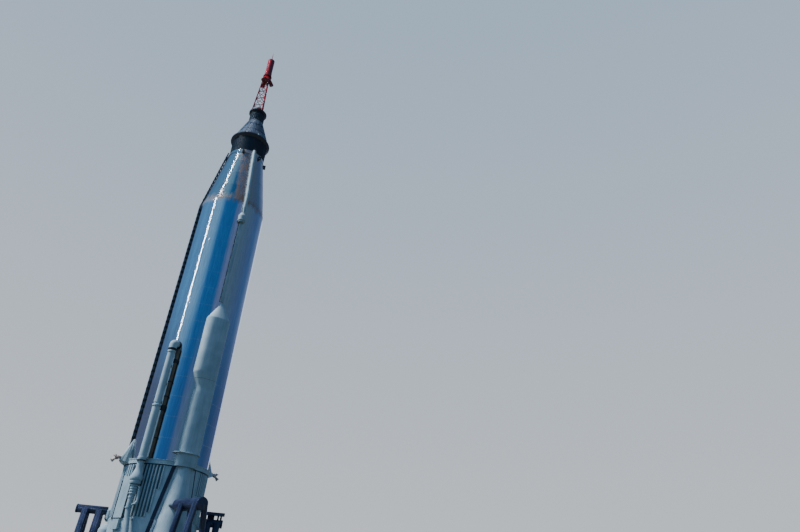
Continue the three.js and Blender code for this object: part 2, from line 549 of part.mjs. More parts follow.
// Adapter between tank and capsule: ridged, flaring upwards
const ADAPTER_RIDGES = 40;
const adapterLowZ = CONE_TOP_Z + GAP;
const adapterHighZ = WIDE_RING_Z - 170;
const ADAPTER_TOP_R = 905;
const adapterTopFactor = ADAPTER_TOP_R / CONE_TOP_R;
addMesh('adapter', tapered(prism(ridgedOutline(CONE_TOP_R - 18, CONE_TOP_R, ADAPTER_RIDGES),
  adapterLowZ, adapterHighZ - GAP), adapterHighZ, adapterTopFactor), DARK_SHINGLE);
addMesh('clamp_ring', turned([[0, adapterHighZ], [ADAPTER_TOP_R + 10, adapterHighZ],
  [ADAPTER_TOP_R + 20, adapterHighZ + 50], [WIDE_RING_R, WIDE_RING_Z - 30], [WIDE_RING_R, WIDE_RING_Z + 40], [CAPSULE_R + 10, WIDE_RING_Z + 90], [0, WIDE_RING_Z + 90]], 40), DARK_SHINGLE);

// Capsule: shingled cone, recovery section and collar
const capsuleLowZ = WIDE_RING_Z + 90 + GAP;
addMesh('capsule_cone', turned([[0, capsuleLowZ], [CAPSULE_R, capsuleLowZ], [NECK_R, NECK_Z], [0, NECK_Z]], 48),
  DARK_SHINGLE);
addMesh('recovery_section', turned([[0, NECK_Z + GAP], [NECK_R, NECK_Z + GAP], [NECK_R, COLLAR_Z],
  [0, COLLAR_Z]], 36), DARK_SHINGLE);
const COLLAR_R = 480;
addMesh('tower_collar', turned([[0, COLLAR_Z + GAP], [NECK_R, COLLAR_Z + GAP], [COLLAR_R, COLLAR_Z + 40],
  [COLLAR_R, COLLAR_Z + 120], [NECK_R, COLLAR_Z + 140], [0, COLLAR_Z + 140]], 36), DARK_SHINGLE);
const collarTopZ = COLLAR_Z + 140;
addMesh('antenna_canister', turned([[0, collarTopZ + GAP], [150, collarTopZ + GAP], [130, collarTopZ + 420],
  [80, collarTopZ + 470], [0, collarTopZ + 470]], 24), DARK_SHINGLE);

// Escape tower: three legs with crossed braces, and bare legs in the top bay beside the nozzles
const TOWER = { lowR: 380, highR: 215, legR: 32, braceR: 16, bays: 4, braced: 0.83, bearing: 4 };
const towerPoint = (corner, share) => {
  const radius = TOWER.lowR + (TOWER.highR - TOWER.lowR) * share;
  const angle = THREE.MathUtils.degToRad(120 * corner + TOWER.bearing - 90);
  const z = collarTopZ + 2 + (TOWER_TOP_Z - collarTopZ) * share;
  return [radius * Math.cos(angle), radius * Math.sin(angle), z];
};
const towerBars = [];
for (let corner = 0; corner < 3; corner += 1) {
  towerBars.push(bar(towerPoint(corner, 0), towerPoint(corner, 1), TOWER.legR, TOWER.legR, 6));
  for (let bay = 0; bay < TOWER.bays; bay += 1) {
    const [low, high] = [(bay + 0.08) / TOWER.bays, (bay + 1) / TOWER.bays].map((share) => share * TOWER.braced);
    const next = corner + 1;
    towerBars.push(bar(towerPoint(corner, low), towerPoint(next, high), TOWER.braceR, TOWER.braceR, 4));
    towerBars.push(bar(towerPoint(next, low), towerPoint(corner, high), TOWER.braceR, TOWER.braceR, 4));
    towerBars.push(bar(towerPoint(corner, high), towerPoint(next, high), TOWER.braceR, TOWER.braceR, 4));
  }
}
addMesh('escape_tower', joined(towerBars).intersect(slab(collarTopZ + GAP, TOWER_TOP_Z)), TOWER_RED);

// Escape motor, its three canted nozzles between the legs, and the spike on top
const motorLowZ = TOWER_TOP_Z + GAP;
const nozzles = [0, 1, 2].map((i) => bar([0, -120, 270], [0, -330, -220], 60, 125, 20)
  .rotate([0, 0, 120 * i + TOWER.bearing + 60]).translate([0, 0, motorLowZ]));
const motorFoot = turned([[0, 0], [245, 0], [245, 60], [205, 90], [205, 330], [0, 330]], 24)
  .translate([0, 0, motorLowZ]);
addMesh('escape_nozzles', joined([...nozzles, motorFoot]), TOWER_RED);
addMesh('escape_motor', turned([[0, motorLowZ + 332], [MOTOR_R, motorLowZ + 332], [MOTOR_R, MOTOR_TOP_Z - 60],
  [MOTOR_R - 60, MOTOR_TOP_Z], [0, MOTOR_TOP_Z]], 24), TOWER_RED);
addMesh('nose_spike', turned([[0, MOTOR_TOP_Z + GAP], [60, MOTOR_TOP_Z + GAP], [55, MOTOR_TOP_Z + 80],
  [22, MOTOR_TOP_Z + 120], [8, SPIKE_TOP_Z], [0, SPIKE_TOP_Z]], 12), TOWER_RED);

export default rocket;
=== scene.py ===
# Space rocket with a crew capsule on its display stand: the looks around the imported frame, in metres.
# Bearings are in degrees, counted from -Y (0) towards +X (90). The floor is z = 0.
import math

import bmesh
import bpy
from mathutils import Matrix, Vector


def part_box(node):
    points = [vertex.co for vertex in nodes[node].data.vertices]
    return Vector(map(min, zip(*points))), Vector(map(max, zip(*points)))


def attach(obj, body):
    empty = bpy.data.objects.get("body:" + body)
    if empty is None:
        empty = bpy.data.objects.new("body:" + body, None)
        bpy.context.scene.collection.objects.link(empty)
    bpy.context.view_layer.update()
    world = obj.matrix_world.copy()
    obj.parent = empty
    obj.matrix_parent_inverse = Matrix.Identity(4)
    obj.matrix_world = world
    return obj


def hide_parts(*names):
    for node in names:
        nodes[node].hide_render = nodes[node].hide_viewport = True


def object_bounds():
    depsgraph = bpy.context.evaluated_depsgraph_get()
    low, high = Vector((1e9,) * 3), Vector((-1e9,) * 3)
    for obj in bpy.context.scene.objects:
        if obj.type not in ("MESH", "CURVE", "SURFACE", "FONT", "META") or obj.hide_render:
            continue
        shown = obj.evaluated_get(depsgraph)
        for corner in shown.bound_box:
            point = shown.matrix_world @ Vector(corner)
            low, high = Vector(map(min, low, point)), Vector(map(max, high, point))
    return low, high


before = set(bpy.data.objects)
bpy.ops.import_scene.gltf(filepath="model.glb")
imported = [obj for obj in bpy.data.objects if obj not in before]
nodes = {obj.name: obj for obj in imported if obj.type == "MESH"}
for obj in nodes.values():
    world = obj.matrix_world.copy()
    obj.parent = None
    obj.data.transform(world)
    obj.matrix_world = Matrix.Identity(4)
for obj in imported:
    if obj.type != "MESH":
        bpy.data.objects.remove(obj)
cad_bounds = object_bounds()


# Camera: it stands near the floor, looks up at the rocket and leans a little, as the photo does.
def low_and_high(node):
    low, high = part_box(node)
    return low.z, high.z


JOINT_Z, RING_TOP_Z = low_and_high("joint_ring")      # edges of the ring between tank and skirt
VIEW_BEARING = -20.0
CAMERA_DISTANCE = 25.653
CAMERA_BELOW_JOINT = 4.009
CAMERA_YAW, CAMERA_PITCH, CAMERA_ROLL = 19.569, 30.363, 4.121
FOCAL_SHARE = 579.93 / 800                       # focal length over the picture's width
SENSOR_WIDTH = 36.0


def bearing_direction(bearing):
    angle = math.radians(bearing)
    return Vector((math.sin(angle), -math.cos(angle), 0))


def aim_camera():
    towards = -bearing_direction(VIEW_BEARING)
    right = Vector((towards.y, -towards.x, 0))
    up = Vector((0, 0, 1))
    yaw, pitch, roll = (math.radians(a) for a in (CAMERA_YAW, CAMERA_PITCH, CAMERA_ROLL))
    heading = right * math.sin(yaw) + towards * math.cos(yaw)
    side = right * math.cos(yaw) - towards * math.sin(yaw)
    forward = heading * math.cos(pitch) + up * math.sin(pitch)
    above = up * math.cos(pitch) - heading * math.sin(pitch)
    camera_x = side * math.cos(roll) + above * math.sin(roll)
    camera_y = above * math.cos(roll) - side * math.sin(roll)
    place = -towards * CAMERA_DISTANCE + up * (JOINT_Z - CAMERA_BELOW_JOINT)
    turn = Matrix((camera_x, camera_y, -forward)).transposed().to_4x4()
    return Matrix.Translation(place) @ turn


camera_data = bpy.data.cameras.new("camera")
camera_data.sensor_width = SENSOR_WIDTH
camera_data.lens = SENSOR_WIDTH * FOCAL_SHARE
camera_data.clip_end = 500
camera = bpy.data.objects.new("camera", camera_data)
camera.matrix_world = aim_camera()
bpy.context.scene.collection.objects.link(camera)
bpy.context.scene.camera = camera


# Studio light: a soft square lamp from the left and behind, a slim strip that draws the streak on the
# steel, a weak strip on the right, a pale backdrop and a plain pale floor. The steel mirrors a blue
# room with soft grey patches in it, which no camera ray sees.
def linear(hex_colour, alpha=1.0):
    def channel(value):
        value /= 255
        return value / 12.92 if value <= 0.04045 else ((value + 0.055) / 1.055) ** 2.4
    parts = [int(hex_colour[i:i + 2], 16) for i in (1, 3, 5)]
    return (*(channel(part) for part in parts), alpha)


def set_up(node, **values):
    """Gives a node its settings, in lower case, and its inputs, by name or as i and a number."""
    for key, value in values.items():
        number = key[1:]
        if key.islower() and not number.isdigit():
            setattr(node, key, value)
            continue
        socket = node.inputs[int(number) if number.isdigit() else key.replace("_", " ")]
        if isinstance(value, bpy.types.Node):
            value = next(output for output in value.outputs if output.enabled)
        if isinstance(value, bpy.types.NodeSocket):
            node.id_data.links.new(value, socket)
        else:
            socket.default_value = value
    return node


def add_node(tree, kind, **values):
    return set_up(tree.nodes.new("ShaderNode" + kind), **values)


world = bpy.data.worlds.new("studio")
bpy.context.scene.world = world
world.use_nodes = True
world_tree = world.node_tree
world_tree.nodes.clear()
room_place = add_node(world_tree, "TexCoord")
room_split = add_node(world_tree, "SeparateXYZ", i0=room_place.outputs["Generated"])
backdrop = add_node(world_tree, "ValToRGB", i0=room_split.outputs["Z"])
backdrop.color_ramp.elements[0].position = 0.0
backdrop.color_ramp.elements[0].color = linear("#e4e9ee")
backdrop.color_ramp.elements[1].position = 0.8
backdrop.color_ramp.elements[1].color = linear("#b4cbe4")
seen_by = add_node(world_tree, "LightPath")
# The room's colour goes by bearing: pale round the lamps on the left, deep blue in front and slate on
# the right. Low down all of it is duller. The edges are ragged by a noise.
room_south = add_node(world_tree, "Math", operation="MULTIPLY", i0=room_split.outputs["Y"], i1=-1.0)
room_turn = add_node(world_tree, "Math", operation="ARCTAN2", i0=room_split.outputs["X"], i1=room_south)
ragged_way = add_node(world_tree, "Mapping", i0=room_place.outputs["Generated"], Scale=(1, 1, 0.45))
ragged = add_node(world_tree, "TexNoise", Vector=ragged_way, Scale=2.6, Detail=3.0)
# The noise, 0.5 on average, counts for 15 degrees at most.
raggedness = add_node(world_tree, "Math", operation="MULTIPLY_ADD", i0=ragged, i1=0.08, i2=0.46)
turn_share = add_node(world_tree, "Math", operation="MULTIPLY_ADD", i0=room_turn, i1=1 / math.tau,
                      i2=raggedness)


def room_ramp(stops):
    """The room's colour by bearing in degrees, from the far side round the left, front and right."""
    ramp = add_node(world_tree, "ValToRGB", i0=turn_share)
    for _ in stops[2:]:
        ramp.color_ramp.elements.new(0.5)
    for element, (bearing, colour) in zip(ramp.color_ramp.elements, stops):
        element.position = (bearing + 180) / 360
        element.color = linear(colour)
    return ramp.outputs["Color"]


high_room = room_ramp(((-180, "#54688a"), (-128, "#62a0d8"), (-103, "#6092c6"), (-78, "#84b6e0"),
                       (-66, "#6fa8d6"), (-50, "#2566a8"), (-18, "#1f5e9c"), (1, "#6a7aa6"),
                       (32, "#4f6a82"), (70, "#4a628a"), (96, "#426496"), (125, "#7486ac")))
low_room = room_ramp(((-180, "#56617f"), (-98, "#5c6c8d"), (-82, "#6c9ac2"), (-68, "#5088bc"),
                      (-57, "#2b64a6"), (-36, "#2a5a96"), (-24, "#5a6f94"), (-5, "#486a86"),
                      (20, "#4f7090"), (50, "#3f6288"), (80, "#31507c"), (110, "#4c5c84")))
height_share = add_node(world_tree, "MapRange", Value=room_split.outputs["Z"], i1=0.27, i2=0.40)
room_wall = add_node(world_tree, "Mix", data_type="RGBA", Factor=height_share, A=low_room, B=high_room)
above_floor = add_node(world_tree, "MapRange", Value=room_split.outputs["Z"], i1=-0.05, i2=0.08)
# The room's floor is pale in the steel and dark in the fill, so that undersides stay in shadow.
room_floor = add_node(world_tree, "Mix", data_type="RGBA", Factor=seen_by.outputs["Is Diffuse Ray"],
                  A=linear("#7f8b93"), B=linear("#36424a"))
room = add_node(world_tree, "Mix", data_type="RGBA", Factor=above_floor, A=room_floor, B=room_wall)
backdrop_glow = add_node(world_tree, "Background", i0=backdrop, Strength=0.9)
room_power = add_node(world_tree, "MapRange", Value=seen_by.outputs["Is Diffuse Ray"], i3=1.25, i4=1.8)
# The room also fills the shadows, a little warmer than it looks in the steel.
fill = add_node(world_tree, "Mix", data_type="RGBA", blend_type="ADD",
                Factor=seen_by.outputs["Is Diffuse Ray"], A=room, B=linear("#2c3026"))
room_glow = add_node(world_tree, "Background", i0=fill, Strength=room_power)
surround = add_node(world_tree, "MixShader", i0=seen_by.outputs["Is Camera Ray"], i1=room_glow,
                    i2=backdrop_glow)
add_node(world_tree, "OutputWorld", Surface=surround)

for name, bearing, distance, height, width, tall, power, colour in (
    ("sun", -109, 36, 58, 5.0, 5.0, 98000, "#f6f4ff"),
    ("streak_strip", -95, 45, 50, 0.28, 90, 12500, "#eef5ff"),
    ("rim_strip", 140, 40, 24, 16.0, 40, 1700, "#dfe9ff"),
):
    data = bpy.data.lights.new(name, "AREA")
    data.shape = "RECTANGLE"
    data.size = width
    data.size_y = tall
    data.energy = power
    data.color = linear(colour)[:3]
    light = bpy.data.objects.new(name, data)
    place = bearing_direction(bearing) * distance + Vector((0, 0, height))
    target = Vector((0, 0, 0.45 * cad_bounds[1][2]))
    facing = (place - target).to_track_quat("Z", "Y").to_matrix().to_4x4()
    light.matrix_world = Matrix.Translation(place) @ facing
    bpy.context.scene.collection.objects.link(light)
    # The steel draws its streak from the strip alone.
    light.visible_glossy = name != "sun"

floor_bm = bmesh.new()
bmesh.ops.create_circle(floor_bm, cap_ends=True, segments=64, radius=140)
floor_mesh = bpy.data.meshes.new("floor")
floor_bm.to_mesh(floor_mesh)
floor_bm.free()
floor = bpy.data.objects.new("floor", floor_mesh)
bpy.context.scene.collection.objects.link(floor)
floor_paint = bpy.data.materials.new("pale floor")
floor_paint.use_nodes = True
floor_paint.node_tree.nodes["Principled BSDF"].inputs["Base Color"].default_value = linear("#b3b7bb")
floor_paint.node_tree.nodes["Principled BSDF"].inputs["Roughness"].default_value = 0.85
floor_mesh.materials.append(floor_paint)
# Light that the floor throws back would wash the shade out, so only the camera sees it.
floor.visible_diffuse = False
floor.visible_glossy = False

# Tank: thin stainless steel strakes, rolled and seam welded into a long cylinder with a cone on top.
# It is held round by pressure and carries no paint. Each strake weld is a narrow raised band.
TANK_R = 1.524
CONE_TOP_R = 0.889
TANK_LOW_Z, CYLINDER_TOP_Z = low_and_high("tank_cylinder")
CONE_TOP_Z = low_and_high("tank_cone")[1]
CYLINDER_STRAKES = 15                             # 0.82 m sheet
CONE_STRAKES = 4
WELD_HALF, WELD_PROUD = 0.009, 0.0009


def spun(bm, profile, steps=96, sweep=math.tau, start=0.0, centre=(0, 0), over=0.0):
    """A profile of (radius, height over a level) turned about an upright axis, from a bearing in degrees."""
    x, y = centre[:2]
    way = bearing_direction(start)
    points = [bm.verts.new((x + r * way.x, y + r * way.y, over + z)) for r, z in profile]
    edges = [bm.edges.new(pair) for pair in zip(points, points[1:])]
    bmesh.ops.spin(bm, geom=points + edges, cent=(x, y, 0), axis=(0, 0, 1), angle=sweep, steps=steps,
                   use_merge=sweep == math.tau)
    return bm


def finish_piece(bm, name, slot, material, *replaced, body="rocket", sharp=32, second=None):
    bmesh.ops.remove_doubles(bm, verts=bm.verts, dist=0.0002)
    bmesh.ops.recalc_face_normals(bm, faces=bm.faces)
    mesh = bpy.data.meshes.new(name)
    bm.to_mesh(mesh)
    bm.free()
    piece = bpy.data.objects.new(name, mesh)
    bpy.context.scene.collection.objects.link(piece)
    mesh.materials.append(material)
    if second:
        mesh.materials.append(second)
    mesh.polygons.foreach_set("use_smooth", [True] * len(mesh.polygons))
    mesh.set_sharp_from_angle(angle=math.radians(sharp))
    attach(piece, body)
    if replaced:
        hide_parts(*replaced)
    return piece


def welded_profile(low, high, low_r, high_r, strakes):
    profile = [(0, low), (low_r, low)]
    for strake in range(1, strakes):
        share = strake / strakes
        z, r = low + (high - low) * share, low_r + (high_r - low_r) * share
        profile += [(r, z - WELD_HALF), (r + WELD_PROUD, z - 0.6 * WELD_HALF),
                    (r + WELD_PROUD, z + 0.6 * WELD_HALF), (r, z + WELD_HALF)]
    return profile + [(high_r, high), (0, high)]


def new_material(name, **settings):
    material = bpy.data.materials.new(name)
    material.use_nodes = True
    tree = material.node_tree
    shader = tree.nodes["Principled BSDF"]
    set_up(shader, **settings)
    place = add_node(tree, "TexCoord").outputs["Object"]
    return material, tree, shader, place


def add_ramp(tree, value, *stops):
    """A value to a colour, by (position, colour) stops."""
    ramp = add_node(tree, "ValToRGB", i0=value)
    while len(ramp.color_ramp.elements) < len(stops):
        ramp.color_ramp.elements.new(0.5)
    for element, (position, colour) in zip(ramp.color_ramp.elements, stops):
        element.position = position
        element.color = linear(colour) if isinstance(colour, str) else (colour, colour, colour, 1)
    return ramp.outputs["Color"]


# Stainless sheet, mill bright: sharp long reflections that waver with the thin sheet, a slightly
# different polish from strake to strake, fine vertical rubbing marks and brown stains at the joint.
def stainless(name, stain_z, strake_pitch, sheet_dark, sheet_light, polish, stained):
    material, tree, shader, place = new_material(name, Metallic=1.0)
    split = add_node(tree, "SeparateXYZ", i0=place)
    # Sheet by sheet: 0.82 m strakes, each with its own polish.
    strake = add_node(tree, "Math", operation="DIVIDE", i0=split.outputs["Z"], i1=strake_pitch)
    strake = add_node(tree, "Math", operation="FLOOR", i0=strake)
    sheet = add_node(tree, "TexWhiteNoise", noise_dimensions="1D", W=strake)
    # Rubbing marks run up and down, 12 mm apart and over half a metre long.
    long_way = add_node(tree, "Mapping", i0=place, Scale=(1, 1, 0.02))
    rubbing = add_node(tree, "TexNoise", Vector=long_way, Scale=80.0, Detail=3.0)
    # Oil canning: dishes about 0.6 m across in the thin sheet.
    canning = add_node(tree, "TexNoise", Vector=place, Scale=1.6, Detail=1.0)
    # Stains spread 0.5 m up and down from the joint and run in 100 mm wide drips.
    drip_way = add_node(tree, "Mapping", i0=place, Scale=(1, 1, 0.25))
    drips = add_node(tree, "TexNoise", Vector=drip_way, Scale=9.0, Detail=5.0)
    height = add_node(tree, "Math", operation="SUBTRACT", i0=split.outputs["Z"], i1=stain_z)
    height = add_node(tree, "Math", operation="ABSOLUTE", i0=height)
    near = add_node(tree, "MapRange", Value=height, i1=0.0, i2=0.5, i3=0.8, i4=stained)
    # A brown drip band 0.6 m wide runs down beside the vent line on the front.
    beside = add_node(tree, "Math", operation="ADD", i0=split.outputs["X"], i1=0.40)
    beside = add_node(tree, "Math", operation="ABSOLUTE", i0=beside)
    band = add_node(tree, "MapRange", Value=beside, i1=0.14, i2=0.30, i3=0.6, i4=0.0)
    front = add_node(tree, "Math", operation="LESS_THAN", i0=split.outputs["Y"], i1=0.0)
    band = add_node(tree, "Math", operation="MULTIPLY", i0=band, i1=front)
    where = add_node(tree, "Math", operation="MULTIPLY_ADD", i0=band, i1=stained * 4, i2=near)
    stain = add_node(tree, "Math", operation="MULTIPLY", i0=where, i1=drips)
    stain = add_ramp(tree, stain, (0.2, 0.0), (0.55, 0.8))
    steel = add_ramp(tree, rubbing, (0.3, sheet_dark), (0.7, sheet_light))
    colour = add_node(tree, "Mix", data_type="RGBA", Factor=stain, A=steel, B=linear("#8a5f40"))
    set_up(shader, Base_Color=colour)
    # The stain is a thin dull film, so the metal shows through it only in part.
    bare = add_node(tree, "Math", operation="MULTIPLY_ADD", i0=stain, i1=-0.6, i2=1.0)
    set_up(shader, Metallic=bare)
    shine = add_node(tree, "MapRange", Value=sheet, i3=polish, i4=polish + 0.035)
    rough = add_node(tree, "Math", operation="MULTIPLY_ADD", i0=stain, i1=0.3, i2=shine)
    set_up(shader, Roughness=rough)
    dished = add_node(tree, "Bump", Height=canning, Strength=0.2, Distance=0.008)
    rubbed = add_node(tree, "Bump", Height=rubbing, Strength=0.06, Distance=0.001, Normal=dished)
    set_up(shader, Normal=rubbed)
    return material


tank_steel = stainless("bright stainless sheet", CYLINDER_TOP_Z, 0.82, "#a9adb2", "#c9cdd1", 0.075, 0.0)
cone_steel = stainless("stained stainless sheet", CYLINDER_TOP_Z, 0.82, "#9a9792", "#bab8b4", 0.11, 0.25)
cylinder = welded_profile(TANK_LOW_Z, CYLINDER_TOP_Z, TANK_R, TANK_R, CYLINDER_STRAKES)
finish_piece(spun(bmesh.new(), cylinder, 192), "tank_sheet", "polished_steel", tank_steel, "tank_cylinder",
             sharp=10)
cone = welded_profile(CYLINDER_TOP_Z + 0.0006, CONE_TOP_Z, TANK_R, CONE_TOP_R, CONE_STRAKES)
finish_piece(spun(bmesh.new(), cone, 192), "tank_cone_sheet", "polished_steel", cone_steel, "tank_cone",
             sharp=10)


# Painted sheet: pale grey-green satin paint on aluminium and steel, sprayed and then weathered. It has
# chalked lighter in broad patches, carries faint grey runs below joints and a slight orange peel.
def painted(name, fresh, chalked, grime_and_shade, roughness=0.48, runs=0.3):
    material, tree, shader, place = new_material(name)
    # Chalking comes in patches about 0.5 m across.
    patches = add_node(tree, "TexNoise", Vector=place, Scale=2.2, Detail=4.0)
    coat = add_ramp(tree, patches, (0.35, fresh), (0.68, chalked))
    # Rain runs are 45 mm wide and over half a metre long.
    run_way = add_node(tree, "Mapping", i0=place, Scale=(1, 1, 0.06))
    rain = add_node(tree, "TexNoise", Vector=run_way, Scale=22.0, Detail=4.0)
    streak = add_ramp(tree, rain, (0.52, 0.0), (0.78, runs))
    colour = add_node(tree, "Mix", data_type="RGBA", Factor=streak, A=coat, B=linear(grime_and_shade))
    # Chips and specks of 8 mm, drawn a little coarser than real ones so that they show.
    specks = add_node(tree, "TexNoise", Vector=place, Scale=70.0, Detail=2.0)
    chip = add_ramp(tree, specks, (0.72, 0.0), (0.76, 0.55))
    colour = add_node(tree, "Mix", data_type="RGBA", Factor=chip, A=colour, B=linear(grime_and_shade))
    set_up(shader, Base_Color=colour)
    gloss = add_node(tree, "MapRange", Value=patches, i1=0.3, i2=0.7,
                     i3=roughness - 0.08, i4=roughness + 0.1)
    set_up(shader, Roughness=gloss)
    # Orange peel about 15 mm across.
    peel = add_node(tree, "TexNoise", Vector=place, Scale=65.0, Detail=1.0)
    skin = add_node(tree, "Bump", Height=peel, Strength=0.08, Distance=0.002)
    set_up(shader, Normal=skin)
    return material


# Joint ring: the rolled channel where the tank's thrust ring bolts to the skirt. Satin paint over
# steel, with a lip along both edges and a row of bolts inside each, 100 mm apart.
def add_rod(bm, start, end, radius, end_radius=None, sides=16):
    start, end = Vector(start), Vector(end)
    turn = (end - start).to_track_quat("Z", "Y").to_matrix().to_4x4()
    bmesh.ops.create_cone(bm, cap_ends=True, segments=sides, radius1=radius,
                          radius2=radius if end_radius is None else end_radius, depth=(end - start).length,
                          matrix=Matrix.Translation((start + end) / 2) @ turn)


def at_bearing(bearing, radius, z, aside=0.0):
    out = bearing_direction(bearing)
    return out * radius + Vector((-out.y, out.x, 0)) * aside + Vector((0, 0, z))


def add_bar(bm, bearing, start, end, radius, end_radius=None, sides=16, aside=0.0):
    """A rod between two points of (distance from the axis, height) at one bearing."""
    ends = (at_bearing(bearing, out, z, aside) for out, z in (start, end))
    add_rod(bm, *ends, radius, end_radius, sides)


def add_bolts(bm, bearings, radius, z, head=0.011, reach=0.012):
    """Hexagon heads that stand out of a round wall."""
    for bearing in bearings:
        add_bar(bm, bearing, (radius - 0.002, z), (radius + reach, z), head, sides=6)


pale_paint = painted("pale grey-green satin paint", "#899ea2", "#9eb0b2", "#4a5a5f")
RING_R = 1.61
RING_H = RING_TOP_Z - JOINT_Z
ring_bm = bmesh.new()
spun(ring_bm, [(1.25, 0), (RING_R, 0), (RING_R, 0.022), (RING_R - 0.014, 0.03),
               (RING_R - 0.014, RING_H - 0.03), (RING_R, RING_H - 0.022), (RING_R, RING_H - 0.004),
               (RING_R - 0.004, RING_H), (1.25, RING_H), (1.25, 0)], 160, over=JOINT_Z)
add_bolts(ring_bm, [i * 3.6 for i in range(100)], RING_R - 0.014, JOINT_Z + 0.06, reach=0.009)
add_bolts(ring_bm, [i * 3.6 + 1.8 for i in range(100)], RING_R - 0.014, JOINT_Z + RING_H - 0.055,
          reach=0.009)
finish_piece(ring_bm, "joint_ring_channel", "pale_paint", pale_paint, "joint_ring")

# Nacelle edges: over each booster engine a long cone lies against the skirt. Its flat flange is
# riveted on along both edges, and beside it a dark navy strip of painted shadow marks the gap, from the
# ring to the lower edge.
SEAM_Z = low_and_high("corrugated_skirt")[0]
SHELL_LOW_Z = low_and_high("engine_section_shell")[0]
VALLEY_R = 1.57                                   # skirt between its ridges
SHELL_R = 1.6
EDGE_FLANGE = 0.08
GAP_STRIPE = 0.13                                 # from the flange to the gap's far edge
CONE_TOP = (1.45, 0.27)                           # axis distance and radius at the ring
CONE_ASIDE = 0.075                                # how far the axis leans aside up to the ring
CONE_LOW = (1.64, 0.80)                           # and at the shell's lower edge


def cone_at(z):
    """How far the cone's axis stands out and aside at a height, and the cone's radius there."""
    share = (JOINT_Z - z) / (JOINT_Z - SHELL_LOW_Z)
    out, radius = (top + (low - top) * share for top, low in zip(CONE_TOP, CONE_LOW))
    return out, CONE_ASIDE * (1 - share), radius


def edge_bearing(z, grow, wall_r, side):
    """The bearing where one side of the cone, grown by some metres, meets the round wall at a height."""
    out, aside, radius = cone_at(z)
    distance = math.hypot(aside, out)
    radius += grow
    cosine = (wall_r ** 2 + distance ** 2 - radius ** 2) / (2 * wall_r * distance)
    return math.degrees(math.asin(aside / distance) + side * math.acos(cosine))


def add_edge_strip(bm, facing, side, grows, walls, heights):
    """A flat strip that follows the cone's edge: grows are its two edges, walls its two radii."""
    def corners(z):
        inner, outer = (facing + edge_bearing(z, grow, walls[0], side) for grow in grows)
        return [at_bearing(inner, walls[0], z), at_bearing(outer, walls[0], z),
                at_bearing(outer, walls[1], z), at_bearing(inner, walls[1], z)]
    last = corners(heights[0])
    face = bm.faces.new([bm.verts.new(corner) for corner in last])
    for z in heights[1:]:
        grown = bmesh.ops.extrude_face_region(bm, geom=[face])["geom"]
        face = next(item for item in grown if isinstance(item, bmesh.types.BMFace))
        following = corners(z)
        for vert in face.verts:
            vert.co = following[min(range(4), key=lambda i: (last[i] - vert.co).length)]
        last = following


def height_steps(high, low, count=24):
    return [high + (low - high) * step / count for step in range(count + 1)]


gap_painted_shadow = painted("dark navy painted gap shadow", "#141c33", "#1c2742", "#0c1120", 0.4, 0.1)
rivet_bm, stripe_bm = bmesh.new(), bmesh.new()
# The dark band just under the joint ring is painted shadow under the ring's lip.
spun(stripe_bm, [(VALLEY_R - 0.01, -0.03), (VALLEY_R + 0.014, -0.03),
                 (VALLEY_R + 0.014, -0.001), (VALLEY_R - 0.01, -0.001)], 160, over=JOINT_Z)
for facing in (0, 180):
    # side of the cone, and the dark gap's two edges from it
    for side, gap_from, gap_to in ((-1, 0.086, 0.21), (1, 0.17, 0.205)):
        for high, low, wall in ((JOINT_Z - 0.002, SEAM_Z + 0.002, VALLEY_R),
                                (SEAM_Z - 0.004, SHELL_LOW_Z, SHELL_R)):
            add_edge_strip(stripe_bm, facing, side, (gap_from, gap_to), (wall - 0.004, wall + 0.006),
                           height_steps(high, low))
            for z in height_steps(high - 0.05, low + 0.05, round((high - low) / 0.09)):
                bearing = facing + edge_bearing(z, 0.5 * EDGE_FLANGE, wall, side)
                add_bar(rivet_bm, bearing, (wall + 0.022, z), (wall + 0.029, z), 0.009, 0.006, 8)
finish_piece(stripe_bm, "nacelle_gap_shadows", "pale_paint", gap_painted_shadow)
# A strip of sheet covers the left foot of each cone; its dark lilac-grey is a painted sky reflection.
# It widens from nothing at the ring to 150 mm at the shell's lower edge and is rolled to the cone.
STRIP_WIDE = 0.15
close_bm = bmesh.new()
for facing in (0, 180):
    for high, low, wall in ((JOINT_Z - 0.01, SEAM_Z + 0.002, VALLEY_R),
                            (SEAM_Z - 0.004, SHELL_LOW_Z + 0.004, SHELL_R)):
        add_edge_strip(close_bm, facing, -1, (-0.02, 0.0835), (wall + 0.012, wall + 0.0238),
                       height_steps(high, low))
        rows = []
        for z in height_steps(high, low):
            out, aside, _ = cone_at(z)
            axis = at_bearing(facing, out, z, aside)
            reach = at_bearing(facing + edge_bearing(z, 0.004, wall, -1), wall, z) - axis
            turn = STRIP_WIDE * (JOINT_Z - z) / (JOINT_Z - SHELL_LOW_Z) / reach.length
            turned = [Matrix.Rotation(turn * i / 3, 3, "Z") @ reach for i in range(4)]
            rows.append([close_bm.verts.new(axis + corner) for corner in turned])
        for upper, lower in zip(rows, rows[1:]):
            for i in range(3):
                close_bm.faces.new((upper[i], lower[i], lower[i + 1], upper[i + 1]))
closing_strip_painted_reflection = painted("closing strip with painted lilac sky reflection", "#34374c", "#474a63", "#1e2130", 0.5, 0.3)
finish_piece(close_bm, "nacelle_closing_strips", "pale_paint", closing_strip_painted_reflection)
finish_piece(rivet_bm, "nacelle_edge_rivets", "pale_paint", pale_paint)


# Skirt: rolled aluminium with pressed hat ridges riveted on outside, 125 mm apart. The ridges are
# 64 mm wide, have sloped ends and stop short of the nacelles' edges, which leaves a smooth strip.
# The valleys between them carry dark strips, which are painted shade.
def round_edges(bm, verts, offset, segments=2):
    edges = list({e for v in verts for e in v.link_edges})
    bmesh.ops.bevel(bm, geom=edges, offset=offset, affect="EDGES", segments=segments, profile=0.5,
                    material=-1)


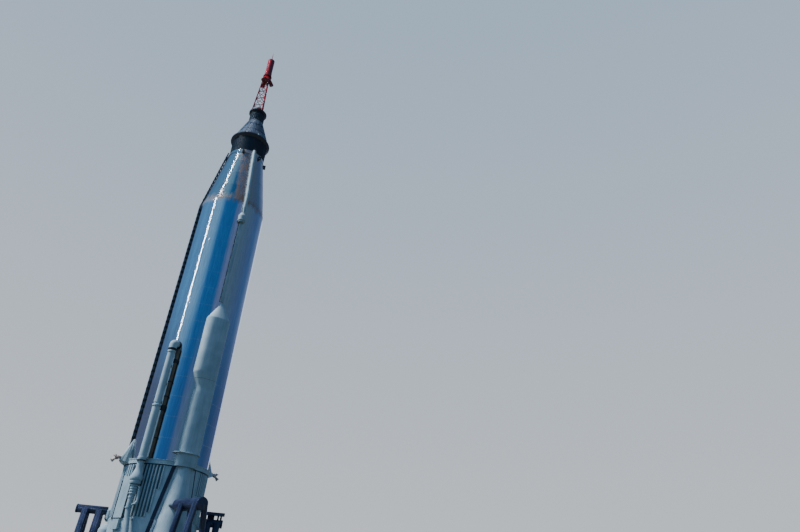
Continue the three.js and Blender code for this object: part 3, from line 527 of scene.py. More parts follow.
def add_box(bm, centre, size, bearing=0.0, lean=0.0):
    """A box of (across, deep, high) that faces a bearing and leans back by an angle."""
    turn = Matrix.Rotation(math.radians(bearing), 4, "Z") @ Matrix.Rotation(lean, 4, "X")
    place = Matrix.Translation(centre) @ turn @ Matrix.Diagonal((*size, 1))
    return bmesh.ops.create_cube(bm, size=1, matrix=place)["verts"]


RIDGES = 80
RIDGE_H = 0.028
SMOOTH_STRIP = 0.33
skirt_bm = bmesh.new()
spun(skirt_bm, [(1.53, SEAM_Z), (VALLEY_R, SEAM_Z), (VALLEY_R, JOINT_Z - 0.001), (1.53, JOINT_Z - 0.001),
                (1.53, SEAM_Z)], 160)


def ridge_foot(bearing):
    """How low a ridge reaches before it meets a nacelle's smooth strip."""
    facing = 0 if abs(bearing) < 90 else 180
    off_axis = (bearing - facing + 180) % 360 - 180
    side = 1 if off_axis > 0 else -1
    low = SEAM_Z + 0.05
    while low < JOINT_Z and side * edge_bearing(low, SMOOTH_STRIP, VALLEY_R, side) > side * off_axis:
        low += 0.02
    return low


PITCH = 360 / RIDGES
for ridge in range(RIDGES):
    bearing = -180 + (ridge + 0.5) * PITCH
    high, low = JOINT_Z - 0.03, ridge_foot(bearing)
    if high - low < 0.12:
        continue
    centre = at_bearing(bearing, VALLEY_R + 0.5 * RIDGE_H - 0.003, (high + low) / 2)
    hat = add_box(skirt_bm, centre, (0.064, RIDGE_H + 0.004, high - low), bearing)
    crown = [v for v in hat if math.hypot(v.co.x, v.co.y) > VALLEY_R + 0.01]
    out = bearing_direction(bearing)
    for vert in crown:
        aside = vert.co - out * vert.co.dot(out)
        aside.z = 0
        vert.co -= aside * 0.32
        vert.co.z += math.copysign(0.03, (high + low) / 2 - vert.co.z)
    round_edges(skirt_bm, crown, 0.006)
    valley_low = max(low, ridge_foot((bearing + PITCH + 180) % 360 - 180)) + 0.02
    if high - valley_low > 0.1:
        middle = at_bearing(bearing + 0.5 * PITCH, VALLEY_R, (high + valley_low) / 2)
        # A dark strip in the valley is painted shade between two ridges.
        grime_and_shade = add_box(skirt_bm, middle, (0.066, 0.004, high - valley_low), bearing + 0.5 * PITCH)
        for face in {f for v in grime_and_shade for f in v.link_faces}:
            face.material_index = 1
valley_painted_shade = painted("painted shade in the valleys", "#33474d", "#465b60", "#232f33", 0.7, 0.3)
finish_piece(skirt_bm, "ridged_skirt", "pale_paint", pale_paint, "corrugated_skirt", second=valley_painted_shade)


# Nacelle caps and engine section: the same sheet carried down smooth below the seam, with a riveted
# lap at the seam and frames' rivet lines round it. The shapes are the frame's own, smoothed.
def copied(node):
    """A node's own solid, with its loose triangles joined."""
    bm = bmesh.new()
    bm.from_mesh(nodes[node].data)
    bmesh.ops.remove_doubles(bm, verts=bm.verts, dist=0.0002)
    bmesh.ops.dissolve_degenerate(bm, edges=bm.edges, dist=0.0002)
    return bm


def round_off(piece):
    """Shades the flat facets of the nacelles' cones and of the shell as the round sheets they stand for."""
    mesh = piece.data
    cone_slope = (CONE_LOW[1] - CONE_TOP[1]) / (JOINT_Z - SHELL_LOW_Z)
    normals = [Vector(corner.vector) for corner in mesh.corner_normals]
    for face in mesh.polygons:
        flip = -1 if face.center.y > 0 else 1

        def away_from_axis(spot):
            out, aside, radius = cone_at(spot.z)
            return Vector((spot.x - aside * flip, spot.y + out * flip, 0)), radius

        def away_from_middle(spot):
            return Vector((spot.x, spot.y, 0)), SHELL_R

        for away, rise in ((away_from_axis, cone_slope), (away_from_middle, 0)):
            out, radius = away(face.center)
            if abs(out.length - radius) < 0.025 and face.normal.dot(out.normalized()) > 0.9:
                for corner in face.loop_indices:
                    out = away(mesh.vertices[mesh.loops[corner].vertex_index].co)[0].normalized()
                    normals[corner] = (out + Vector((0, 0, rise))).normalized()
                break
    mesh.normals_split_custom_set(normals)


for number in (1, 2):
    round_off(finish_piece(copied(f"nacelle_cap_{number}"), f"nacelle_cone_{number}", "pale_paint",
                           pale_paint, f"nacelle_cap_{number}"))
round_off(finish_piece(copied("engine_section_shell"), "engine_section_skin", "pale_paint", pale_paint,
                       "engine_section_shell"))

lap_bm = bmesh.new()
for half in (0, 180):
    first, last = (edge_bearing(SEAM_Z, EDGE_FLANGE + GAP_STRIPE, SHELL_R, side) for side in (1, -1))
    spun(lap_bm, [(SHELL_R - 0.01, -0.05), (SHELL_R + 0.004, -0.05), (SHELL_R + 0.004, -0.004),
                  (SHELL_R - 0.01, -0.004)], 60, math.radians(180 + last - first), half + first,
         over=SEAM_Z)
    for z in (SEAM_Z - 0.027, SEAM_Z - 0.7, SEAM_Z - 1.35, SHELL_LOW_Z + 0.04):
        first, last = (edge_bearing(z, EDGE_FLANGE + GAP_STRIPE, SHELL_R, side) + side for side in (1, -1))
        wall = SHELL_R + (0.004 if z > SEAM_Z - 0.05 else 0)
        count = round((180 + last - first) / 2.6)
        for i in range(count + 1):
            bearing = half + first + (180 + last - first) * i / count
            add_bar(lap_bm, bearing, (wall - 0.001, z), (wall + 0.005, z), 0.008, 0.005, 8)
finish_piece(lap_bm, "seam_laps_and_rivets", "pale_paint", pale_paint)

# Base heat shield: a flat panel of glass cloth and resin over the engine bay, off-white and sooty,
# with a rolled metal lip round the opening for each engine.
heat_cloth = painted("sooty glass cloth panel", "#8d8a82", "#a5a197", "#3b3632", 0.75, 0.6)
shield_bm = copied("base_heat_shield")
SHIELD_LOW_Z = low_and_high("base_heat_shield")[0]
for y, hole in ((-1.65, 0.60), (1.65, 0.60), (0, 0.54)):
    spun(shield_bm, [(hole, 0.02), (hole, -0.03), (hole + 0.012, -0.036),
                     (hole + 0.024, -0.03), (hole + 0.03, 0.002)], 72, centre=(0, y), over=SHIELD_LOW_Z)
finish_piece(shield_bm, "heat_shield_panel", "engine_metal", heat_cloth, "base_heat_shield")


# Thrust frame and gimbals: welded steel beams and forged crosses, bare and dull with heat.
def bare_metal(name, dark, light, roughness, grain=40.0):
    material, tree, shader, place = new_material(name, Metallic=0.9)
    blotch = add_node(tree, "TexNoise", Vector=place, Scale=5.0, Detail=5.0)
    set_up(shader, Base_Color=add_ramp(tree, blotch, (0.3, dark), (0.7, light)))
    # The scale left by forging and heat is about 25 mm across.
    scale = add_node(tree, "TexNoise", Vector=place, Scale=grain, Detail=3.0)
    rough = add_node(tree, "MapRange", Value=scale, i3=roughness - 0.1, i4=roughness + 0.12)
    set_up(shader, Roughness=rough)
    skin = add_node(tree, "Bump", Height=scale, Strength=0.2, Distance=0.002)
    set_up(shader, Normal=skin)
    return material


dull_steel = bare_metal("heat-dulled steel", "#57585a", "#85878a", 0.45)
for node in ("thrust_frame", "booster_gimbal_1", "booster_gimbal_2", "sustainer_gimbal"):
    nodes[node].data.materials.clear()
    nodes[node].data.materials.append(dull_steel)

# Engines: a forged injector dome, a chamber and a bell of brazed nickel tubes held by steel hoops.
# They hang in forks and swing a few degrees, so each rides on its own body.
bell_metal = bare_metal("brazed nickel tubes", "#5b5954", "#8e8a80", 0.38, 90.0)
bell_dark = bare_metal("sooty bell lining", "#1c1b1a", "#38342f", 0.7)
PIVOT_Z = low_and_high("booster_gimbal_1")[0] + 0.035


def bell_radius(throat_r, exit_r, share):
    return throat_r + (exit_r - throat_r) * share ** 0.6


def add_engine(name, node, y, chamber_r, throat_z, throat_r, exit_z, exit_r):
    bm = bmesh.new()
    steps = 14
    outer = [(0, -0.091), (0.165, -0.091), (0.19, -0.12), (chamber_r - 0.01, -0.21),
             (chamber_r, -0.23), (chamber_r, -0.26), (chamber_r - 0.025, -0.27),
             (chamber_r - 0.025, throat_z + 0.22)]
    inner = []
    for i in range(steps + 1):
        z = throat_z + (exit_z - throat_z) * i / steps
        r = bell_radius(throat_r, exit_r, i / steps)
        outer.append((r - 0.008, z))
        inner.append((r - 0.024, z))
    spun(bm, outer, 64, centre=(0, y), over=PIVOT_Z)
    lining_from = len(bm.faces)
    spun(bm, [(0, throat_z + 0.02)] + inner, 64, centre=(0, y), over=PIVOT_Z)
    spun(bm, [outer[-1], (outer[-1][0] + 0.008, exit_z + 0.004), inner[-1]], 64, centre=(0, y),
         over=PIVOT_Z)
    bm.faces.ensure_lookup_table()
    for face in bm.faces[lining_from:lining_from + 64 * (steps + 1)]:
        face.material_index = 1
    for i in range(3, steps + 1, 2):
        r, z = outer[8 + i]
        spun(bm, [(r - 0.002, z + 0.028), (r + 0.01, z + 0.024), (r + 0.012, z + 0.002),
                  (r + 0.004, z - 0.002)], 64, centre=(0, y), over=PIVOT_Z)
    for side in (-1, 1):
        lug = add_box(bm, (0, y + side * 0.13, PIVOT_Z - 0.03), (0.075, 0.038, 0.135))
        round_edges(bm, lug, 0.008)
        add_rod(bm, (0.10, y + side * chamber_r * 0.82, PIVOT_Z - 0.34),
                (0.06, y + side * (throat_r + 0.05), PIVOT_Z + throat_z - 0.04), 0.028, sides=12)
    finish_piece(bm, name, "engine_metal", bell_metal, node, body=node, second=bell_dark)


for engine in (
    # name, body and node, y of its axis, chamber radius, throat height and radius, exit height and radius
    ("booster_bell_1", "booster_engine_1", -1.65, 0.25, -0.85, 0.17, -2.25, 0.59),
    ("booster_bell_2", "booster_engine_2", 1.65, 0.25, -0.85, 0.17, -2.25, 0.59),
    ("sustainer_bell", "sustainer_engine", 0, 0.23, -0.75, 0.15, -2.17, 0.59),
):
    add_engine(*engine)

# Vernier engines: two small rockets on hollow pins at the ring, each under a half-cone fairing of
# painted aluminium. The engine is bare, brown with heat and patched with ash, and swivels.
hot_metal = painted("ashy heat-browned steel", "#8c7462", "#c9beb0", "#3b2a20", 0.5, 1.4)
VERNIER_Z = JOINT_Z + 0.20
for number, bearing in ((1, 90), (2, -90)):
    fairing_bm = copied(f"vernier_fairing_{number}")
    # The front half is narrower than the rear half, and the tip a little lower than the frame's.
    across = at_bearing(bearing, 0, 0, -1 if bearing > 0 else 1)
    for vert in fairing_bm.verts:
        aside = vert.co.dot(across)
        if (aside > 0) == (bearing < 0):
            vert.co -= across * aside * 0.45
        if vert.co.z > JOINT_Z + 0.3:
            vert.co.z -= 0.14 * (vert.co.z - JOINT_Z - 0.3)
    finish_piece(fairing_bm, f"vernier_cone_{number}", "pale_paint", pale_paint,
                 f"vernier_fairing_{number}")
    vernier_bm = bmesh.new()
    for start_r, start_z, end_r, end_z, wide, narrow in (
        # distance from the rocket's axis and height over the pin, at both ends, and two radii
        (1.881, 0, 1.955, 0, 0.053, None),
        (1.932, 0.017, 2.017, -0.043, 0.069, None),
        (2.013, -0.04, 2.058, -0.076, 0.069, 0.037),
        (2.055, -0.074, 2.159, -0.159, 0.036, 0.073),
    ):
        add_bar(vernier_bm, bearing, (start_r, VERNIER_Z + start_z), (end_r, VERNIER_Z + end_z), wide, narrow,
                32)
    exit_face = max((f for f in vernier_bm.faces if len(f.verts) > 20),
                    key=lambda f: -f.calc_center_median().z)
    bmesh.ops.inset_region(vernier_bm, faces=[exit_face], thickness=0.007, depth=0)
    bowl = bmesh.ops.extrude_face_region(vernier_bm, geom=[exit_face])["geom"]
    bowl_face = next(item for item in bowl if isinstance(item, bmesh.types.BMFace))
    into = bearing_direction(bearing) * -0.07 + Vector((0, 0, 0.06))
    middle = bowl_face.calc_center_median()
    for vert in bowl_face.verts:
        vert.co = middle + (vert.co - middle) * 0.35 + into
    bowl_face.material_index = 1
    # Feed pipes with union nuts stand out of the body, above the nozzle.
    for aside, rise, reach in ((-0.035, 0.045, 0.14), (0.03, 0.012, 0.12), (0.0, 0.075, 0.09)):
        root = at_bearing(bearing, 1.985, VERNIER_Z + 0.3 * rise, aside)
        tip = at_bearing(bearing, 1.985 + reach, VERNIER_Z + rise, aside)
        add_rod(vernier_bm, root, tip, 0.016, sides=12)
        add_rod(vernier_bm, root.lerp(tip, 0.78), tip, 0.026, sides=6)
    finish_piece(vernier_bm, f"vernier_rocket_{number}", "engine_metal", hot_metal,
                 f"vernier_engine_{number}", body=f"vernier_engine_{number}", second=bell_dark)

# Equipment pods: half-round blisters of riveted aluminium on the front and back of the tank, a broad
# nose with a plain pointed tip, a body stepped in on one side only and a base block on the ring.
POD_OUT, POD_PROUD = 1.49, 0.36
POD_FULLNESS = 2.6                                # two would be a plain ellipse; this is flatter in front
POD_NOSE = ((3.414, -0.396, 0.495), (3.64, -0.482, 0.50), (3.675, -0.495, 0.50), (3.73, -0.50, 0.50),
            (6.07, -0.50, 0.50), (6.095, -0.495, 0.495), (6.12, -0.483, 0.483), (6.90, -0.075, 0.075),
            (6.935, -0.05, 0.05), (6.958, -0.018, 0.018))
POD_BODY = ((0.503, -0.318, 0.515), (2.75, -0.312, 0.511), (2.80, -0.308, 0.510), (2.92, -0.290, 0.509),
            (2.97, -0.285, 0.509), (3.05, -0.284, 0.508), (3.11, -0.288, 0.508), (3.17, -0.302, 0.507),
            (3.405, -0.392, 0.502))
POD_BASE = ((0.004, -0.370, 0.485), (0.018, -0.375, 0.49), (0.45, -0.375, 0.49), (0.4665, -0.380, 0.49),
            (0.468, -0.505, 0.535), (0.474, -0.515, 0.545), (0.494, -0.515, 0.545), (0.4985, -0.508, 0.538))


def add_pod_part(bm, levels, steps=72):
    """Levels of (height, left edge, right edge) turned about the pod's axis and drawn flat to its depth."""
    first = set(bm.verts)
    widest = max(0.5, *((right - left) / 2 for _, left, right in levels))
    profile = [((right - left) / 2, JOINT_Z + z) for z, left, right in levels]
    spun(bm, [(0, profile[0][1])] + profile + [(0, profile[-1][1])], steps)
    edges = {round(JOINT_Z + z, 3): (left, right) for z, left, right in levels}
    fresh = [v for v in bm.verts if v not in first]
    for vert in fresh:
        left, right = edges[round(vert.co.z, 3)]
        half = (right - left) / 2
        across = min(1.0, abs(vert.co.x) / half)
        depth = math.copysign(half * (1 - across ** POD_FULLNESS) ** (1 / POD_FULLNESS), vert.co.y)
        if abs(vert.co.x) + abs(vert.co.y) < 1e-6:
            depth = 0
        back = min(POD_PROUD / widest * depth - POD_OUT, 0.115 - TANK_R)
        vert.co = (vert.co.x + (left + right) / 2, back, vert.co.z)
    return fresh


def both_sides(bm, verts):
    """A second copy on the far side of the rocket."""
    faces = list({f for v in verts for f in v.link_faces})
    copy = bmesh.ops.duplicate(bm, geom=list(verts) + faces)["geom"]
    moved = [item for item in copy if isinstance(item, bmesh.types.BMVert)]
    bmesh.ops.rotate(bm, verts=moved, cent=(0, 0, 0), matrix=Matrix.Rotation(math.pi, 3, "Z"))


def pod_wall(levels, degrees, z):
    """A point on a pod's skin, by degrees round the pod from its middle, and the way out from there."""
    below = [level for level in levels if level[0] <= z][-1]
    above = next(level for level in levels if level[0] > z)
    share = (z - below[0]) / (above[0] - below[0])
    left, right = (a + (b - a) * share for a, b in zip(below[1:], above[1:]))
    depth = POD_PROUD * (right - left) / max(1.0, *(r - l for _, l, r in levels))
    across = math.sin(math.radians(degrees))
    forward = (1 - abs(across) ** POD_FULLNESS) ** (1 / POD_FULLNESS)
    spot = Vector(((left + right) / 2 + (right - left) / 2 * across, -depth * forward - POD_OUT,
                   JOINT_Z + z))
    power = POD_FULLNESS - 1
    return spot, Vector((math.copysign(abs(across) ** power, across) / (right - left),
                         -forward ** power / (2 * depth), 0)).normalized()


for name, solid, levels in (
    ("pod_noses", "pod_nose", POD_NOSE),
    ("pod_bodies", "pod_body", POD_BODY),
    ("pod_bases", "pod_base", POD_BASE),
):
    pod_bm = bmesh.new()
    both_sides(pod_bm, add_pod_part(pod_bm, levels))
    finish_piece(pod_bm, name, "pale_paint", pale_paint, f"{solid}_1", f"{solid}_2", sharp=25)

# Pod rivets: flush rows along the sheet laps, where the nose meets the body and down both sides.
pod_rivet_bm = bmesh.new()
rivet_spots = []
for z, levels in ((5.95, POD_NOSE), (4.75, POD_NOSE), (3.50, POD_NOSE), (2.2, POD_BODY), (0.58, POD_BODY),
                  (0.42, POD_BASE)):
    rivet_spots += [pod_wall(levels, -80 + 5 * i, z) for i in range(33)]
for angle in (-62, 62):
    rivet_spots += [pod_wall(POD_NOSE, angle, 3.6 + 0.12 * i) for i in range(20)]
    rivet_spots += [pod_wall(POD_BODY, angle, 0.66 + 0.12 * i) for i in range(13)]
for spot, out in rivet_spots:
    add_rod(pod_rivet_bm, spot - out * 0.002, spot + out * 0.003, 0.006, 0.004, 6)
both_sides(pod_rivet_bm, list(pod_rivet_bm.verts))
finish_piece(pod_rivet_bm, "pod_rivets", "pale_paint", pale_paint)


# Vent line: a flat conduit runs up the tank from the pod's tip to a round vent valve, and a painted
# tube goes on over the cone, held by saddle clamps, with its open end hooked over the adapter's foot.
def add_block(bm, bearing, radius, z, size, edge=0.004, lean=0.0):
    """A box centred at a bearing and a distance from the rocket's axis, its edges rounded."""
    round_edges(bm, add_box(bm, at_bearing(bearing, radius, z), size, bearing, lean), edge)


VENT_BEARING = -3
BULB_Z = JOINT_Z + 11.43
conduit_bm, cable_bm = bmesh.new(), bmesh.new()
conduit_low, conduit_high = JOINT_Z + 6.963, BULB_Z - 0.272
trough = add_box(conduit_bm, (-0.06, -TANK_R - 0.01, (conduit_low + conduit_high) / 2),
                 (0.156, 0.06, conduit_high - conduit_low))
round_edges(conduit_bm, trough, 0.008, 3)
add_rod(cable_bm, Vector((-0.15, -TANK_R - 0.008, conduit_low)),
        Vector((-0.15, -TANK_R - 0.008, conduit_high)), 0.014)
for i in range(9):
    add_block(conduit_bm, -2.5, TANK_R + 0.018, JOINT_Z + 7.25 + 0.45 * i, (0.2, 0.05, 0.03), 0.005)
finish_piece(conduit_bm, "vent_conduit", "polished_steel", pale_paint, "front_conduit")
cable_jacket = painted("black cable jacket", "#0c0f12", "#171b1e", "#060708", 0.5, 0.1)
finish_piece(cable_bm, "vent_sensor_cable", "cable_black", cable_jacket)

valve_bm = bmesh.new()
bulb_at = at_bearing(VENT_BEARING, TANK_R + 0.06, 0)
spun(valve_bm, [(0, -0.268), (0.135, -0.268), (0.146, -0.256), (0.146, -0.226),
                (0.176, -0.205), (0.184, -0.19), (0.184, -0.165), (0.168, -0.15),
                (0.172, -0.06), (0.184, 0.04), (0.182, 0.08), (0.16, 0.12),
                (0.138, 0.145), (0.134, 0.185), (0.116, 0.228), (0.08, 0.255),
                (0.04, 0.267), (0, 0.269)], 48, centre=bulb_at, over=BULB_Z)
for turn in range(10):
    spot = Vector((bulb_at.x, bulb_at.y, BULB_Z - 0.205)) + bearing_direction(36 * turn) * 0.16
    add_rod(valve_bm, spot, spot + Vector((0, 0, -0.014)), 0.009, sides=6)
finish_piece(valve_bm, "vent_valve", "pale_paint", pale_paint, "vent_bulb")


def rounded_path(points, bend, steps=6):
    """Straight runs with each corner rounded off, a given distance before and after it."""
    points = [Vector(p) for p in points]
    path = [points[0]]
    for before, corner, after in zip(points, points[1:], points[2:]):
        start = corner + (before - corner).normalized() * min(bend, 0.45 * (before - corner).length)
        end = corner + (after - corner).normalized() * min(bend, 0.45 * (after - corner).length)
        for i in range(steps + 1):
            t = i / steps
            path.append(start * (1 - t) ** 2 + corner * 2 * t * (1 - t) + end * t ** 2)
    return path + [points[-1]]


def add_swept(bm, path, radius, sides=20, capped=True):
    """A round tube drawn along a path, its section extruded from point to point."""
    ways = [(b - a).normalized() for a, b in zip(path, path[1:])]
    ways = [ways[0]] + [(a + b).normalized() for a, b in zip(ways, ways[1:])] + [ways[-1]]
    turn = ways[0].to_track_quat("Z", "Y")
    ring = bmesh.ops.create_circle(bm, cap_ends=capped, segments=sides, radius=radius,
                                   matrix=Matrix.Translation(path[0]) @ turn.to_matrix().to_4x4())["verts"]
    edges = [e for e in {e for v in ring for e in v.link_edges} if all(v in ring for v in e.verts)]
    for place, last, way, last_way in zip(path[1:], path, ways[1:], ways):
        grown = bmesh.ops.extrude_edge_only(bm, edges=edges)["geom"]
        ring = [item for item in grown if isinstance(item, bmesh.types.BMVert)]
        edges = [item for item in grown
                 if isinstance(item, bmesh.types.BMEdge) and all(v in ring for v in item.verts)]
        swing = last_way.rotation_difference(way).to_matrix()
        for vert in ring:
            vert.co = place + swing @ (vert.co - last)
    if capped:
        bmesh.ops.contextual_create(bm, geom=edges)


VENT_R = 0.086
vent_bm = bmesh.new()
vent_low = at_bearing(VENT_BEARING, TANK_R + 0.09, BULB_Z + 0.275)
vent_way = [at_bearing(VENT_BEARING, TANK_R + 0.09, BULB_Z + 0.55),
            at_bearing(VENT_BEARING, TANK_R + 0.09, CYLINDER_TOP_Z),
            at_bearing(VENT_BEARING, CONE_TOP_R + 0.118, CONE_TOP_Z - 0.04)]
spun(vent_bm, [(0, 0), (0.042, 0), (0.048, 0.01), (0.05, 0.03),
               (VENT_R - 0.006, 0.25), (VENT_R - 0.001, 0.276), (0, 0.28)], 32,
     centre=vent_low, over=vent_low.z)
add_swept(vent_bm, rounded_path(vent_way, 0.19), VENT_R, 32)
for i in range(5):
    clamp_z = CYLINDER_TOP_Z + 0.45 + 0.68 * i
    share = (clamp_z - CYLINDER_TOP_Z) / (CONE_TOP_Z - CYLINDER_TOP_Z)
    wall = TANK_R + (CONE_TOP_R - TANK_R) * share
    add_block(vent_bm, VENT_BEARING, wall + 0.012, clamp_z, (0.22, 0.03, 0.04), 0.005, math.radians(10))
finish_piece(vent_bm, "vent_line", "pale_paint", pale_paint, "vent_tube")
hook_bm = bmesh.new()
hook_way = [vent_way[2] - Vector((0, 0, 0.03)), vent_way[2] + Vector((0, 0.02, 0.10)),
            vent_way[2] + Vector((0, -0.06, 0.13))]
add_swept(hook_bm, rounded_path(hook_way, 0.05), 0.045, 16)
finish_piece(hook_bm, "vent_line_outlet", "cable_black", cable_jacket)

# Oxidiser line: an insulated duct 280 mm across down the left of the tank, which bends over into the
# tank at its top, with a clamped joint half way, a valve body under the ring, a bellows and a tail.
LINE_BEARING = -53
LINE_OUT, LINE_R = 1.79, 0.14
ELBOW_Z = JOINT_Z + 4.725
line_at = at_bearing(LINE_BEARING, LINE_OUT, 0)
rubber_and_painted_shade = painted("black rubber and shadowed clamp", "#141719", "#23282b", "#0b0c0d", 0.7, 0.1)
line_bm = bmesh.new()
line_profile = [(0, 0.18)] + [(LINE_R + out, z) for out, z in (
    # out from the duct's wall, height over the joint
    (0, 0.18), (0, 2.045), (-0.01, 2.05), (-0.01, 2.075), (0.022, 2.085), (0.026, 2.11), (0.022, 2.145),
    (0.004, 2.155), (-0.018, 2.16), (-0.018, 2.215), (0, 2.225), (0, 4.30), (0.022, 4.308), (0.024, 4.335),
    (0.018, 4.372))]
spun(line_bm, line_profile + [(0, 4.38)], 48, centre=line_at, over=JOINT_Z)
elbow_way = [at_bearing(LINE_BEARING, out, z) for out, z in (
    (LINE_OUT, JOINT_Z + 4.475), (LINE_OUT, ELBOW_Z), (TANK_R - 0.05, ELBOW_Z))]
add_swept(line_bm, rounded_path(elbow_way, 0.2, 10), 0.158, 40)
finish_piece(line_bm, "oxidiser_duct", "pale_paint", pale_paint, "oxidiser_line")
clamps_and_shade_bm = bmesh.new()
spun(clamps_and_shade_bm, [(0, 4.381), (0.150, 4.381), (0.164, 4.40), (0.152, 4.42),
                 (0.166, 4.445), (0.16, 4.474), (0, 4.474)], 40, centre=line_at, over=JOINT_Z)
# The dark boot where the elbow enters the tank is painted shade under the elbow.
add_bar(clamps_and_shade_bm, LINE_BEARING, (TANK_R - 0.03, ELBOW_Z), (TANK_R + 0.06, ELBOW_Z), 0.178, sides=40)
# The dark band round the duct's foot is painted shadow at the duct's lower end.
spun(clamps_and_shade_bm, [(0.14, 0.022), (0.163, 0.026), (0.163, 0.056), (0.14, 0.06)], 40,
     centre=line_at, over=JOINT_Z)
for z in (0.75, 1.5, 2.3, 3.05, 3.8):
    add_block(clamps_and_shade_bm, LINE_BEARING, TANK_R + 0.06, JOINT_Z + z, (0.10, 0.16, 0.06), 0.008)
finish_piece(clamps_and_shade_bm, "oxidiser_duct_clamps_and_shade", "cable_black", rubber_and_painted_shade)

valve_body_bm = bmesh.new()
valve_profile = [(0, 0.178), (0.150, 0.178), (0.154, 0.17), (0.154, 0.062), (0.148, 0.05), (0.122, 0.038),
                 (0.118, 0.022), (0.118, -0.20), (0.124, -0.26), (0.140, -0.32), (0.168, -0.40),
                 (0.196, -0.48), (0.212, -0.54), (0.218, -0.58), (0.216, -0.62), (0.205, -0.655),
                 (0.188, -0.675), (0.194, -0.685), (0.196, -0.705), (0.190, -0.775), (0.182, -0.788),
                 (0, -0.79)]
spun(valve_body_bm, valve_profile, 56, centre=line_at, over=JOINT_Z)
for turn in range(12):
    spot = Vector((line_at.x, line_at.y, JOINT_Z - 0.69)) + bearing_direction(30 * turn) * 0.17
    add_rod(valve_body_bm, spot, spot + Vector((0, 0, 0.03)), 0.012, sides=6)
finish_piece(valve_body_bm, "oxidiser_valve_body", "pale_paint", pale_paint, "oxidiser_valve")

BELLOWS_TOP, FOLDS, FOLD = -0.794, 4, 0.0895
bellows_bm = bmesh.new()
bellows_profile = [(0, 0), (0.108, 0)]
for fold in range(FOLDS):
    crest = 0.137 - 0.005 * fold
    for share, inward in ((0.16, 0.018), (0.3, 0.004), (0.5, 0), (0.7, 0.004), (0.84, 0.018), (1.0, 0.032)):
        bellows_profile.append((crest - inward, -FOLD * (fold + share)))
bellows_profile.append((0, -FOLD * FOLDS))
spun(bellows_bm, bellows_profile, 48, centre=line_at, over=JOINT_Z + BELLOWS_TOP)
finish_piece(bellows_bm, "oxidiser_bellows_folds", "pale_paint", pale_paint, "oxidiser_bellows")

branch_bm = bmesh.new()
LOW = BELLOWS_TOP - FOLD * FOLDS


def beside_line(aside, z):
    return at_bearing(LINE_BEARING, LINE_OUT, JOINT_Z + z, aside)


for way, bend, radius, sides in (
    # each pipe's corners, beside the line and over the joint
    (((0, LOW - 0.002), (0, -1.60), (0.13, -2.19), (0.21, -2.60), (0.21, -3.0)), 0.15, 0.09, 32),
    (((0.225, -0.862), (0.26, -1.13), (0.29, -1.42), (0.04, -1.50)), 0.07, 0.038, 20),
):
    add_swept(branch_bm, rounded_path([beside_line(*corner) for corner in way], bend), radius, sides)
add_rod(branch_bm, beside_line(0.287, -1.372), beside_line(0.252, -1.448), 0.06, sides=24)
for aside, z in ((0, -1.24), (0, -1.58), (0.21, -2.63), (0.21, -2.95)):
    flange_at = beside_line(aside, z)
    spun(branch_bm, [(0.08, -0.02), (0.108, -0.018), (0.108, 0.018), (0.08, 0.02)], 40,
         centre=flange_at, over=flange_at.z)
finish_piece(branch_bm, "oxidiser_tail", "pale_paint", pale_paint, "oxidiser_branch")

# Side tube: a bare brown pressure tube down the tank close beside the oxidiser line, strapped to it,
# with a thin near-white wire run along its near side, whose paleness is a painted highlight of the
# tube's sunlit edge.
tube_brown = painted("weathered brown tube", "#40372b", "#6a5c44", "#1c1711", 0.5, 0.5)
SIDE_BEARING, SIDE_OUT = -47.2, TANK_R + 0.079
side_bm, strap_bm, highlight_wire_bm = bmesh.new(), bmesh.new(), bmesh.new()
for bm, low, high, radius, out, aside, sides in (
    # the tube, its straps, then the wire: heights over the joint, radius, and where it runs beside the tube
    (side_bm, 0.19, 4.5, 0.0745, 0, 0, 32),
    (strap_bm, 0.9, 0.94, 0.088, 0, 0, 32),
    (strap_bm, 1.95, 2.17, 0.088, 0, 0, 32),
    (strap_bm, 2.5, 2.54, 0.088, 0, 0, 32),
    (strap_bm, 3.1, 3.14, 0.088, 0, 0, 32),
    (strap_bm, 3.9, 4.06, 0.088, 0, 0, 32),
    (highlight_wire_bm, 0.2, 1.95, 0.027, 0.092, -0.03, 16),
    (highlight_wire_bm, 2.17, 3.9, 0.014, 0.062, -0.044, 16),
):
    add_bar(bm, SIDE_BEARING, (SIDE_OUT + out, JOINT_Z + low), (SIDE_OUT + out, JOINT_Z + high), radius,
            sides=sides, aside=aside)
finish_piece(side_bm, "side_pressure_tube", "pipe_brown", tube_brown, "side_tube")
finish_piece(strap_bm, "side_tube_straps", "cable_black", rubber_and_painted_shade)
wire_painted_highlight = painted("near-white wire as painted highlight", "#f4efdf", "#fbf8ee", "#b8b2a0", 0.55, 0.2)
finish_piece(highlight_wire_bm, "side_tube_highlight_wire", "pale_paint", wire_painted_highlight)

